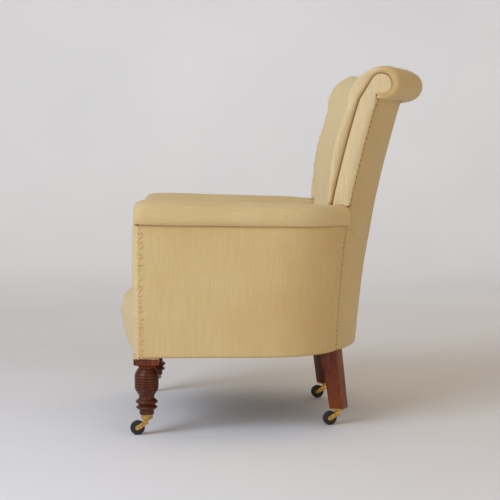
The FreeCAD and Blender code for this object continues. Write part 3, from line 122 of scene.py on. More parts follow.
@dataclass(frozen=True)
class StrawLinen:
    """Plain-woven cotton and linen cloth with thick and thin threads and a patchy faded tone, with painted light on
    what faces the window and painted shade in its creases and seams.
    """

    light: str = "#DCC491"
    body: str = "#D3B880"
    deep: str = "#BD9852"
    # pale: the colour of the painted light on what faces the window
    pale: str = "#E8D8AE"
    slub_mm: float = 3.4
    thread_mm: float = 1.5
    roughness: float = 0.9

    def make(self, name: str, lie: Thread) -> bpy.types.Material:
        """Build the cloth's nodes.

        Args:
            name: the material's name.
            lie: the way that the heavier threads run.

        Returns:
            The material.
        """
        material, tree, shader = new_material(name)
        place = add(tree, "ShaderNodeTexCoord").outputs["Object"]
        turned = add(tree, "ShaderNodeMapping", Vector=place, Rotation=lie.value).outputs["Vector"]
        # thick and thin threads: long streaks one way, shorter ones the other
        long_way = add(tree, "ShaderNodeMapping", Vector=turned, Scale=(1, 1, 0.045)).outputs["Vector"]
        short_way = add(tree, "ShaderNodeMapping", Vector=turned, Scale=(0.12, 0.12, 1)).outputs["Vector"]
        slub = add(tree, "ShaderNodeTexNoise", Vector=long_way, Scale=1 / (self.slub_mm * MM), Detail=2.0,
                   Roughness=0.6).outputs["Fac"]
        weft = add(tree, "ShaderNodeTexNoise", Vector=short_way, Scale=1 / (self.slub_mm * MM), Detail=1.0,
                   Roughness=0.5).outputs["Fac"]
        # single threads are drawn at 1.5 mm, about twice the real spacing, so that they show
        fine = add(tree, "ShaderNodeTexNoise", Vector=turned, Scale=1 / (self.thread_mm * MM), Detail=1.0,
                   Roughness=0.5).outputs["Fac"]
        both = add(tree, "ShaderNodeMath", {"operation": "MULTIPLY_ADD"}, i0=weft, i1=0.3, i2=slub).outputs[0]
        streak = add(tree, "ShaderNodeMapRange", Value=both, From_Min=0.42, From_Max=0.9).outputs["Result"]
        # fading in broad soft patches
        fade = add(tree, "ShaderNodeTexNoise", Vector=place, Scale=5.0, Detail=2.0, Roughness=0.5).outputs["Fac"]
        fade_step = add(tree, "ShaderNodeMapRange", Value=fade, From_Min=0.28, From_Max=0.72).outputs["Result"]
        ground = add(tree, "ShaderNodeMix", {"data_type": "RGBA"}, Factor=fade_step, i6=linear(self.body),
                     i7=linear(self.light)).outputs[2]
        # painted light: the cloth is paler on what faces the window lamp, for the stronger light that falls there
        bleached = add(tree, "ShaderNodeAttribute", {"attribute_name": "bleached"}).outputs["Fac"]
        ground = add(tree, "ShaderNodeMix", {"data_type": "RGBA"}, Factor=bleached, i6=ground,
                     i7=linear(self.pale)).outputs[2]
        shade = add(tree, "ShaderNodeMath", {"operation": "MULTIPLY"}, i0=streak, i1=0.26).outputs[0]
        woven = add(tree, "ShaderNodeMix", {"data_type": "RGBA"}, Factor=shade, i6=ground,
                    i7=linear(self.deep)).outputs[2]
        # painted shade: the cloth is darkened towards its deep, warm tone in the creases and along the seams, where
        # shade falls
        tuck = add(tree, "ShaderNodeAttribute", {"attribute_name": "tuck"}).outputs["Fac"]
        crease_shade_share = add(tree, "ShaderNodeMath", {"operation": "MULTIPLY"}, i0=tuck, i1=0.8).outputs[0]
        colour = add(tree, "ShaderNodeMix", {"data_type": "RGBA"}, Factor=crease_shade_share, i6=woven,
                     i7=linear(self.deep)).outputs[2]
        tree.links.new(colour, shader.inputs["Base Color"])
        relief = add(tree, "ShaderNodeMath", {"operation": "MULTIPLY_ADD"}, i0=fine, i1=0.6, i2=both).outputs[0]
        bump = add(tree, "ShaderNodeBump", Height=relief, Strength=0.55, Distance=0.5 * MM).outputs["Normal"]
        tree.links.new(bump, shader.inputs["Normal"])
        shader.inputs["Roughness"].default_value = self.roughness
        shader.inputs["Sheen Weight"].default_value = 0.18
        shader.inputs["Sheen Roughness"].default_value = 0.6
        shader.inputs["Specular IOR Level"].default_value = 0.25
        return material


@dataclass(frozen=True)
class PolishedWood:
    """Timber with a grain that runs along one axis, polished, oiled or left as it was sawn."""

    light: str
    dark: str
    roughness: float
    coat: float
    grain_mm: float = 3.0
    worn: str = ""
    pore_mm: float = 0.9

    def make(self, name: str) -> bpy.types.Material:
        """Build the wood's nodes, with its grain upright.

        Args:
            name: the material's name.

        Returns:
            The material.
        """
        material, tree, shader = new_material(name)
        place = add(tree, "ShaderNodeTexCoord").outputs["Object"]
        along = add(tree, "ShaderNodeMapping", Vector=place, Scale=(1, 1, 0.07)).outputs["Vector"]
        grain = add(tree, "ShaderNodeTexNoise", Vector=along, Scale=1 / (self.grain_mm * MM), Detail=4.0,
                    Roughness=0.6, Distortion=0.4).outputs["Fac"]
        cloud = add(tree, "ShaderNodeTexNoise", Vector=along, Scale=1 / (self.grain_mm * 9 * MM), Detail=2.0,
                    Roughness=0.5).outputs["Fac"]
        # pores are dashes along the grain, drawn 0.9 mm apart, coarser than the real ones, so that they show
        pores = add(tree, "ShaderNodeTexNoise", Vector=along, Scale=1 / (self.pore_mm * MM),
                    Detail=0.0).outputs["Fac"]
        pore_line = add(tree, "ShaderNodeMapRange", Value=pores, From_Min=0.62, From_Max=0.72).outputs["Result"]
        both = add(tree, "ShaderNodeMath", {"operation": "MULTIPLY_ADD"}, i0=cloud, i1=0.8, i2=grain).outputs[0]
        figure = add(tree, "ShaderNodeMapRange", Value=both, From_Min=0.7, From_Max=1.1).outputs["Result"]
        colour = add(tree, "ShaderNodeMix", {"data_type": "RGBA"}, Factor=figure, i6=linear(self.light),
                     i7=linear(self.dark)).outputs[2]
        pore_share = add(tree, "ShaderNodeMath", {"operation": "MULTIPLY"}, i0=pore_line, i1=0.5).outputs[0]
        colour = add(tree, "ShaderNodeMix", {"data_type": "RGBA"}, Factor=pore_share, i6=colour,
                     i7=linear(self.dark)).outputs[2]
        if self.worn:
            # polish is rubbed thin and paler where edges are handled and knocked
            rubbed = add(tree, "ShaderNodeTexNoise", Vector=place, Scale=60.0, Detail=3.0,
                         Roughness=0.7).outputs["Fac"]
            patch = add(tree, "ShaderNodeMapRange", Value=rubbed, From_Min=0.58, From_Max=0.75,
                        To_Max=0.45).outputs["Result"]
            colour = add(tree, "ShaderNodeMix", {"data_type": "RGBA"}, Factor=patch, i6=colour,
                         i7=linear(self.worn)).outputs[2]
            dull = add(tree, "ShaderNodeMapRange", Value=rubbed, From_Min=0.4, From_Max=0.75,
                       To_Min=self.roughness, To_Max=self.roughness + 0.18).outputs["Result"]
            tree.links.new(dull, shader.inputs["Roughness"])
        else:
            shader.inputs["Roughness"].default_value = self.roughness
        # the turned parts are darker than the flat faces of the block
        stain = add(tree, "ShaderNodeAttribute", {"attribute_name": "stain"}).outputs["Fac"]
        turned_dark_share = add(tree, "ShaderNodeMath", {"operation": "MULTIPLY"}, i0=stain, i1=0.55).outputs[0]
        colour = add(tree, "ShaderNodeMix", {"data_type": "RGBA"}, Factor=turned_dark_share, i6=colour,
                     i7=linear(self.dark)).outputs[2]
        tree.links.new(colour, shader.inputs["Base Color"])
        bump = add(tree, "ShaderNodeBump", Height=both, Strength=0.2, Distance=0.3 * MM).outputs["Normal"]
        tree.links.new(bump, shader.inputs["Normal"])
        shader.inputs["Specular IOR Level"].default_value = 0.35
        shader.inputs["Coat Weight"].default_value = self.coat
        shader.inputs["Coat Roughness"].default_value = 0.18
        return material


@dataclass(frozen=True)
class OldMetal:
    """Cast brass or drawn steel, tarnished in the hollows and rubbed bright where it is touched."""

    bright: str
    tarnish: str
    roughness: float
    spread: float

    def make(self, name: str) -> bpy.types.Material:
        """Build the metal's nodes and return the material."""
        material, tree, shader = new_material(name)
        place = add(tree, "ShaderNodeTexCoord").outputs["Object"]
        blotch = add(tree, "ShaderNodeTexNoise", Vector=place, Scale=1 / (7 * MM), Detail=4.0,
                     Roughness=0.65).outputs["Fac"]
        share = add(tree, "ShaderNodeMapRange", Value=blotch, From_Min=0.42, From_Max=0.62,
                    To_Max=self.spread).outputs["Result"]
        colour = add(tree, "ShaderNodeMix", {"data_type": "RGBA"}, Factor=share, i6=linear(self.bright),
                     i7=linear(self.tarnish)).outputs[2]
        tree.links.new(colour, shader.inputs["Base Color"])
        rough = add(tree, "ShaderNodeMapRange", Value=blotch, From_Min=0.3, From_Max=0.7,
                    To_Min=self.roughness, To_Max=self.roughness + 0.25).outputs["Result"]
        tree.links.new(rough, shader.inputs["Roughness"])
        bump = add(tree, "ShaderNodeBump", Height=blotch, Strength=0.25, Distance=0.2 * MM).outputs["Normal"]
        tree.links.new(bump, shader.inputs["Normal"])
        shader.inputs["Metallic"].default_value = 1.0
        return material


@dataclass(frozen=True)
class DarkComposition:
    """The near-black pressed composition of old castor wheels, scuffed grey on the tread."""

    body: str = "#1B1919"
    scuff: str = "#4C4744"

    def make(self, name: str) -> bpy.types.Material:
        """Build the wheel's nodes and return the material."""
        material, tree, shader = new_material(name)
        place = add(tree, "ShaderNodeTexCoord").outputs["Object"]
        rub = add(tree, "ShaderNodeTexNoise", Vector=place, Scale=1 / (2.5 * MM), Detail=3.0,
                  Roughness=0.7).outputs["Fac"]
        share = add(tree, "ShaderNodeMapRange", Value=rub, From_Min=0.55, From_Max=0.78,
                    To_Max=0.7).outputs["Result"]
        colour = add(tree, "ShaderNodeMix", {"data_type": "RGBA"}, Factor=share, i6=linear(self.body),
                     i7=linear(self.scuff)).outputs[2]
        tree.links.new(colour, shader.inputs["Base Color"])
        bump = add(tree, "ShaderNodeBump", Height=rub, Strength=0.2, Distance=0.2 * MM).outputs["Normal"]
        tree.links.new(bump, shader.inputs["Normal"])
        shader.inputs["Roughness"].default_value = 0.42
        return material


@dataclass(frozen=True)
class CoarseCloth:
    """Jute webbing, hessian or black calico: a plain weave of round threads that shows its holes."""

    body: str
    gap: str
    thread_mm: float

    def make(self, name: str) -> bpy.types.Material:
        """Build the cloth's nodes and return the material."""
        material, tree, shader = new_material(name)
        place = add(tree, "ShaderNodeTexCoord").outputs["Object"]
        # a wave repeats every 2 pi / 20 of its scale's reciprocal, which is one part in 3.2
        size = 1 / (self.thread_mm * MM) / 3.2
        waves = [add(tree, "ShaderNodeTexWave", {"bands_direction": axis}, Vector=place, Scale=size,
                     Distortion=1.2, Detail=1.0, Detail_Scale=0.6).outputs["Fac"] for axis in ("X", "Y")]
        height = add(tree, "ShaderNodeMath", {"operation": "MULTIPLY"}, i0=waves[0], i1=waves[1]).outputs[0]
        share = add(tree, "ShaderNodeMapRange", Value=height, From_Min=0.0, From_Max=0.5).outputs["Result"]
        colour = add(tree, "ShaderNodeMix", {"data_type": "RGBA"}, Factor=share, i6=linear(self.gap),
                     i7=linear(self.body)).outputs[2]
        tree.links.new(colour, shader.inputs["Base Color"])
        bump = add(tree, "ShaderNodeBump", Height=height, Strength=0.6, Distance=0.5 * MM).outputs["Normal"]
        tree.links.new(bump, shader.inputs["Normal"])
        shader.inputs["Roughness"].default_value = 0.92
        return material


@dataclass
class Finishes:
    """Every finish of the chair, made once and shared."""

    linen: dict[Thread, bpy.types.Material] = field(default_factory=dict)
    wood: dict[str, bpy.types.Material] = field(default_factory=dict)
    plain: dict[str, bpy.types.Material] = field(default_factory=dict)

    def __post_init__(self) -> None:
        """Make the materials."""
        for lie in Thread:
            self.linen[lie] = StrawLinen().make("straw_linen_" + lie.name.lower(), lie)
        mahogany = PolishedWood("#8F4008", "#30120A", 0.36, 0.08, 2.6, "#A05E24")
        self.wood["mahogany"] = mahogany.make("polished_mahogany")
        beech = PolishedWood("#C79B6B", "#A8784A", 0.6, 0.0, 4.0)
        self.wood["beech"] = beech.make("sawn_beech")
        self.plain["brass"] = OldMetal("#E2B968", "#86642E", 0.27, 0.6).make("tarnished_cast_brass")
        self.plain["steel"] = OldMetal("#8E8B86", "#4A4744", 0.4, 0.6).make("dull_drawn_steel")
        self.plain["dark_wheel"] = DarkComposition().make("pressed_dark_composition")
        self.plain["webbing"] = CoarseCloth("#A98A5C", "#6B5130", 1.6).make("jute_webbing")
        self.plain["hessian"] = CoarseCloth("#B2935F", "#5F4726", 1.3).make("open_hessian")
        self.plain["black_cloth"] = CoarseCloth("#1F1E20", "#0C0B0C", 1.2).make("black_calico")
        self.plain["thread"] = CoarseCloth("#EFE0B8", "#CDB07A", 0.9).make("waxed_linen_thread")
        # painted shade: a darker copy of the linen thread, for stitches that lie in shade
        self.plain["old_thread"] = CoarseCloth("#94713C", "#6A4E26", 0.9).make("browned_linen_thread")

    def dress_nodes(self) -> None:
        """Give every CAD node its finish by its material slot."""
        for entry in frame["record"]["subparts"]:
            name, slot = entry["node"], entry["material_slot"]
            material = self.wood.get(slot) or self.plain.get(slot) or self.linen[Thread.UPRIGHT]
            mesh = frame["nodes"][name].data
            mesh.materials.clear()
            mesh.materials.append(material)
            mesh.polygons.foreach_set("material_index", np.zeros(len(mesh.polygons), dtype=np.int32))


@dataclass(frozen=True)
class ChairForm:
    """The chair's leading sizes in metres, and the curves that its covers follow."""

    front_y: float = -0.310
    side_x: float = 0.325
    base_z: float = 0.190
    barrel_radius: float = 0.380
    neck_z: float = 0.801
    scroll_z: float = 0.841
    cover_top_z: float = 0.8065
    border_y: float = -0.334
    wing_rear_y: float = 0.275
    facing_x: float = 0.2450
    back_spots: tuple[tuple[float, float], ...] = ((0.219, 0.190), (0.263, 0.526), (0.332, 0.801))
    seam_foot_x: float = 0.217
    seam_top_x: float = 0.2417
    arm_rear_z: float = 0.548
    seam_front_z: float = 0.505
    seam_rear_z: float = 0.498
    bend_low: float = 0.291
    bend_high: float = 0.300
    leg_x: float = 0.285
    roll_lift: float = 0.15
    roll_end_lift: float = 0.06
    wing_lift: float = 0.0075
    wing_forward: float = 0.0045
    seat_front_in: float = 0.002
    seat_corner_in: float = 0.004
    seat_edge_drop: float = 0.012
    arm_front_out: float = 0.0055
    facing_out: float = 0.0035
    facing_down: float = 0.003
    strip_down: float = 0.004

    def back_y(self, z: float) -> float:
        """Where the outside of the back lies on the centre line at a height."""
        (ay, az), (by, bz), (cy, cz) = self.back_spots
        d = 2 * (ay * (bz - cz) + by * (cz - az) + cy * (az - bz))
        a2, b2, c2 = ay * ay + az * az, by * by + bz * bz, cy * cy + cz * cz
        uy = (a2 * (bz - cz) + b2 * (cz - az) + c2 * (az - bz)) / d
        uz = (a2 * (cy - by) + b2 * (ay - cy) + c2 * (by - ay)) / d
        radius = math.hypot(ay - uy, az - uz)
        return uy - math.sqrt(radius ** 2 - (z - uz) ** 2)

    def sag(self, x: float | np.ndarray) -> float | np.ndarray:
        """How far the barrel has come forward at a distance from the centre line, or at an array of them."""
        return self.barrel_radius - np.sqrt(self.barrel_radius ** 2 - x * x)

    def seam_x(self, z: float) -> float:
        """Half the width of the outside back at a height."""
        share = min(max((z - self.base_z) / (self.arm_rear_z - self.base_z), 0.0), 1.0)
        return self.seam_foot_x + share * (self.seam_top_x - self.seam_foot_x)

    def seam_y(self, z: float) -> float:
        """Where the seam between the side and the back lies at a height."""
        return self.back_y(z) - self.sag(self.seam_x(z))

    def side_curve(self, z: float) -> tuple[float, float]:
        """Radius and start of the side's rear curve at a height."""
        share = (z - self.base_z) / (self.seam_rear_z - self.base_z)
        start = self.front_y + self.bend_low + share * (self.bend_high - self.bend_low)
        inward = self.side_x - self.seam_x(z)
        back = self.seam_y(z) - start
        return (inward ** 2 + back ** 2) / (2 * inward), start

    def side_spot(self, front: float, share: float, z: float) -> tuple[Vector, Vector]:
        """A place on the side panel and its outward direction.

        Args:
            front: where the panel starts, along Y.
            share: from 0 at the front edge to 1 at the rear seam.
            z: the height.

        Returns:
            The place and the outward direction, for the left side.
        """
        radius, start = self.side_curve(z)
        centre = self.side_x - radius
        end = math.acos(min(1.0, (self.seam_x(z) + 0.0003 - centre) / radius))
        straight, curved = start - front, radius * end
        run = share * (straight + curved)
        if run <= straight:
            return Vector((self.side_x, front + run, z)), Vector((1, 0, 0))
        turn = (run - straight) / radius
        out = Vector((math.cos(turn), math.sin(turn), 0))
        return Vector((centre + radius * out.x, start + radius * out.y, z)), out

    def seam_z(self, y: float) -> float:
        """Height of the seam under the arm's roll at a place along it."""
        front, rear = self.front_y - 0.022, 0.132
        share = min(max((y - front) / (rear - front), 0.0), 1.0)
        return self.seam_front_z + share * (self.seam_rear_z - self.seam_front_z)

    def drawn_up(self, places: np.ndarray) -> np.ndarray:
        """Draw the back's roll up to its core from below, and stuff the far wing a little prouder at its top."""
        behind = eased(places[:, 1] - (self.back_y(self.neck_z) - self.sag(places[:, 0])), -0.006, 0.004)
        drop = np.clip(self.scroll_z - places[:, 2], 0, None)
        lift = self.roll_lift + self.roll_end_lift * (places[:, 0] / self.facing_x) ** 2
        moved = places.copy()
        moved[:, 2] += behind * drop * lift
        prouder = eased(-places[:, 0], 0.12, 0.22) * eased(self.wing_rear_y - places[:, 1], 0.0, 0.04)
        moved[:, 2] += self.wing_lift * prouder * eased(places[:, 2], 0.80, 0.85)
        moved[:, 1] -= self.wing_forward * prouder * eased(places[:, 2], 0.75, 0.82)
        return moved

    def nose_drawn_in(self, places: np.ndarray) -> np.ndarray:
        """Draw the seat's upper front edge in above the bulge of its front border."""
        moved = places.copy()
        high = eased(places[:, 2], 0.308, 0.338)
        front = eased(-places[:, 1], 0.30, 0.335)
        moved[:, 1] += front * (self.seat_front_in + self.seat_corner_in * eased(np.abs(places[:, 0]), 0.10, 0.22))
        moved[:, 1] += np.clip(self.border_y - moved[:, 1], 0, None) * high
        moved[:, 2] -= self.seat_edge_drop * eased(-places[:, 1], 0.25, 0.335) * eased(places[:, 2], 0.325, 0.36)
        return moved

    def roll_brought_out(self, places: np.ndarray) -> np.ndarray:
        """Bring the rolled front of an arm out beyond the seat rail."""
        moved = places.copy()
        moved[:, 1] -= self.arm_front_out * eased(-places[:, 1], 0.29, 0.325)
        return moved

    def facing_brought_out(self, places: np.ndarray) -> np.ndarray:
        """Stuff an arm's facing out in front and let it down on to the leg."""
        moved = places.copy()
        moved[:, 1] -= self.facing_out * eased(-places[:, 1], 0.3265, 0.336)
        moved[:, 2] -= self.facing_down * (1.0 - eased(places[:, 2], 0.192, 0.215))
        return moved

    def strip_let_down(self, places: np.ndarray) -> np.ndarray:
        """Let the foot of a scroll facing down on to the arm."""
        moved = places.copy()
        moved[:, 2] -= self.strip_down * (1.0 - eased(places[:, 2], 0.552, 0.575))
        return moved


FORM = ChairForm()


@dataclass
class Seam:
    """A hand-stitched seam: a line with stitches along it that pull the cloth in on both sides."""

    name: str
    line: list[Vector]
    outward: list[Vector]
    pitch: float = 0.0072
    depth: float = 0.0012
    reach: float = 0.0075
    zigzag: float = 0.0
    seed: int = 1
    pucker_mm: tuple[float, float] = (8.4, 1.7)
    thread_mm: tuple[float, float] = (5.0, 0.5)
    slant: float = math.radians(34)
    welt: Vector = field(default_factory=Vector)
    fine_step: float = 0.002
    far: float = 0.035
    jitter: float = 0.22
    stitch_half: float = 0.0024
    wide_share: float = 0.22
    wide_reach: float = 0.02

    def __post_init__(self) -> None:
        """Lay the line out in small even steps and mark the stitches on it."""
        runs = np.cumsum([0.0] + [(b - a).length for a, b in zip(self.line, self.line[1:])])
        spots = np.array(self.line)
        length = float(runs[-1])
        self.fine_runs = np.arange(0.0, length, self.fine_step)
        self.fine = np.stack([np.interp(self.fine_runs, runs, spots[:, axis]) for axis in range(3)], axis=1)
        count = int(length / self.pitch)
        draw = np.random.default_rng(self.seed)
        self.marks = np.linspace(0, length, count) + draw.uniform(-self.jitter, self.jitter, count) * self.pitch
        self.strengths = draw.uniform(0.6, 1.25, count)

    def pull(self, places: np.ndarray) -> np.ndarray:
        """How far the stitches draw each place in, in metres, less where the cloth swells between them."""
        found = np.zeros(len(places))
        low, high = self.fine.min(0) - self.far, self.fine.max(0) + self.far
        close = np.flatnonzero(((places > low) & (places < high)).all(1))
        for part in np.array_split(close, max(1, len(close) // 4000)):
            if not len(part):
                continue
            away = np.linalg.norm(places[part][:, None] - self.fine[None], axis=2)
            nearest = away.argmin(1)
            off = away[np.arange(len(part)), nearest]
            along = np.abs(self.fine_runs[nearest][:, None] - self.marks[None])
            mark = along.argmin(1)
            step = along[np.arange(len(part)), mark]
            wave = 1.5 * np.exp(-(step / self.stitch_half) ** 2) - 0.5
            fall = np.exp(-(off / self.reach) ** 1.4) + self.wide_share * np.exp(-(off / self.wide_reach) ** 2)
            found[part] = self.depth * self.strengths[mark] * wave * fall
        return found


def chair_seams() -> list[Seam]:
    """The stitched seams: on each side the seam beside the back, the one over it and the upright front one."""
    seams = []
    beside = FORM.facing_x - 0.003
    for order, (name, side) in enumerate(SIDES):
        rear = [Vector((FORM.seam_x(z) * side, FORM.seam_y(z), z)) for z in np.linspace(0.196, 0.546, 40)]
        strip = [Vector((beside * side, FORM.back_y(z) - FORM.sag(beside), z))
                 for z in np.linspace(0.549, 0.803, 32)]
        slope = Vector((side, 0.55, -0.1)).normalized()
        front = [Vector((FORM.side_x * side, -0.3222, z)) for z in np.linspace(0.194, 0.500, 20)]
        flat = Vector((side, -0.25, 0)).normalized()
        seams.append(Seam("rear_seam_" + name, rear, [slope] * len(rear), 0.0110, 0.0013, seed=11 + order))
        seams.append(Seam("strip_seam_" + name, strip, [slope] * len(strip), 0.0135, 0.0018, 0.0060, seed=31 + order,
                          pucker_mm=(10.0, 2.0), thread_mm=(8.0, 1.1), welt=Vector((0.004 * side, -0.0018, 0))))
        seams.append(Seam("front_seam_" + name, front, [flat] * len(front), 0.0122, 0.0016, 0.0090, zigzag=1.0,
                          seed=21 + order, pucker_mm=(14.0, 2.3), thread_mm=(7.0, 0.6), slant=math.radians(52),
                          welt=Vector((0, -0.0023, 0))))
    return seams


def puckered(places: np.ndarray, seams: list[Seam]) -> np.ndarray:
    """How far all the seams' stitches draw each place in."""
    return sum((seam.pull(places) for seam in seams), np.zeros(len(places)))


def link(name: str, mesh: bpy.types.Mesh) -> bpy.types.Object:
    """Put a mesh in the scene as an object of the same name."""
    mesh.name = name
    made = bpy.data.objects.new(name, mesh)
    bpy.context.scene.collection.objects.link(made)
    return made


def points_of(mesh: bpy.types.Mesh) -> np.ndarray:
    """The places of a mesh's points as an array of rows."""
    flat = np.empty(len(mesh.vertices) * 3)
    mesh.vertices.foreach_get("co", flat)
    return flat.reshape(-1, 3)


def set_points(mesh: bpy.types.Mesh, places: np.ndarray) -> None:
    """Move a mesh's points to the places of an array."""
    mesh.vertices.foreach_set("co", places.astype(np.float32).ravel())
    mesh.update()


def normals_of(mesh: bpy.types.Mesh) -> np.ndarray:
    """The outward directions at a mesh's points as an array of rows."""
    flat = np.empty(len(mesh.vertices) * 3)
    mesh.vertex_normals.foreach_get("vector", flat)
    return flat.reshape(-1, 3)


def applied(piece: bpy.types.Object) -> bpy.types.Object:
    """Turn a piece's modifiers into plain mesh."""
    graph = bpy.context.evaluated_depsgraph_get()
    mesh = bpy.data.meshes.new_from_object(piece.evaluated_get(graph))
    old = piece.data
    piece.modifiers.clear()
    piece.data = mesh
    mesh.name = piece.name
    bpy.data.meshes.remove(old)
    return piece


def clothed(mesh: bpy.types.Mesh, material: bpy.types.Material) -> None:
    """Smooth a mesh's shading and give it its one material."""
    mesh.shade_smooth()
    mesh.materials.clear()
    mesh.materials.append(material)


def kept(piece: bpy.types.Object, body: str = BODY) -> None:
    """Give a finished piece its body, and report it."""
    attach(piece, body)
    log.info("%s: %d points", piece.name, len(piece.data.vertices))


def laying_group(name: str, floats: tuple[str, ...], whole: tuple[str, ...] = ()) -> bpy.types.NodeTree:
    """Start a node group that lays small pieces along a line.

    Args:
        name: the group's name.
        floats: the names of its inputs that are sizes or shares.
        whole: the names of its inputs that are whole numbers.

    Returns:
        The node group.
    """
    tree = bpy.data.node_groups.new(name, "GeometryNodeTree")
    ports = [("Line", "Geometry")] + [(port, "Float") for port in floats] + [(port, "Int") for port in whole]
    for port, kind in ports:
        tree.interface.new_socket(port, in_out="INPUT", socket_type="NodeSocket" + kind)
    tree.interface.new_socket("Laid", in_out="OUTPUT", socket_type="NodeSocketGeometry")
    return tree


def end_group(tree: bpy.types.NodeTree, laid: bpy.types.NodeSocket, material: bpy.types.Material) -> None:
    """End a node group: real geometry, smooth and in its material."""
    real = add(tree, "GeometryNodeRealizeInstances", Geometry=laid).outputs["Geometry"]
    smooth = add(tree, "GeometryNodeSetShadeSmooth", Geometry=real).outputs["Geometry"]
    covered = add(tree, "GeometryNodeSetMaterial", Geometry=smooth, Material=material).outputs["Geometry"]
    add(tree, "NodeGroupOutput", Laid=covered)


def lay(tree: bpy.types.NodeTree, name: str, mesh: bpy.types.Mesh, values: dict[str, float]) -> None:
    """Lay a group's small pieces along a mesh's edges and keep them as one plain mesh.

    Args:
        tree: the node group.
        name: the piece's name.
        mesh: the line as a mesh of edges.
        values: the group's inputs by name.
    """
    piece = link(name, mesh)
    run = piece.modifiers.new("run", "NODES")
    run.node_group = tree
    ports = {item.name: item.identifier for item in tree.interface.items_tree if item.in_out == "INPUT"}
    for port, value in values.items():
        run[ports[port]] = value
    kept(applied(piece))


def smoothed(places: np.ndarray, pairs: np.ndarray, rounds: int, share: float, hold: np.ndarray) -> np.ndarray:
    """Relax points towards their neighbours.

    Args:
        places: the points.
        pairs: the edges, as pairs of point numbers.
        rounds: how many times to relax.
        share: how far towards the neighbours' middle each time.
        hold: 0 where a point stays, 1 where it moves freely.

    Returns:
        The moved points.
    """
    count = np.bincount(pairs.ravel(), minlength=len(places))[:, None]
    for _ in range(rounds):
        total = np.zeros_like(places)
        np.add.at(total, pairs[:, 0], places[pairs[:, 1]])
        np.add.at(total, pairs[:, 1], places[pairs[:, 0]])
        places = places + (total / count - places) * share * hold[:, None]
    return places


def tree_of(names: list[str]) -> BVHTree:
    """One search tree over the shapes of several CAD nodes."""
    spots: list[Vector] = []
    faces: list[tuple[int, ...]] = []
    for name in names:
        mesh = frame["nodes"][name].data
        first = len(spots)
        spots.extend(point.co.copy() for point in mesh.vertices)
        faces.extend(tuple(first + at for at in face.vertices) for face in mesh.polygons)
    return BVHTree.FromPolygons(spots, faces)


def distances(places: np.ndarray, tree: BVHTree, reach: float) -> np.ndarray:
    """How far each point lies from the shapes of a tree, up to a reach."""
    found = np.full(len(places), reach)
    for at, place in enumerate(places):
        near = tree.find_nearest(Vector(place), reach)
        if near[3] is not None:
            found[at] = near[3]
    return found


def eased(values: np.ndarray, low: float, high: float) -> np.ndarray:
    """A smooth step from 0 at low to 1 at high."""
    share = np.clip((values - low) / (high - low), 0, 1)
    return share * share * (3 - 2 * share)


def mark(mesh: bpy.types.Mesh, name: str, values: np.ndarray) -> None:
    """Store one value for each point under a name that materials read."""
    attribute = mesh.attributes.new(name, "FLOAT", "POINT")
    attribute.data.foreach_set("value", values.astype(np.float32))


def unevenness(places: np.ndarray, wave: float, seed: float) -> np.ndarray:
    """Smooth lumps of hair stuffing, from -1 to 1.

    Args:
        places: the points.
        wave: the lumps' spacing in metres.
        seed: moves the pattern, so that no two pieces match.

    Returns:
        One value for each point.
    """
    shift = Vector((seed, seed * 1.7, -seed))
    return np.array([noise.noise(Vector(place) / wave + shift) for place in places])


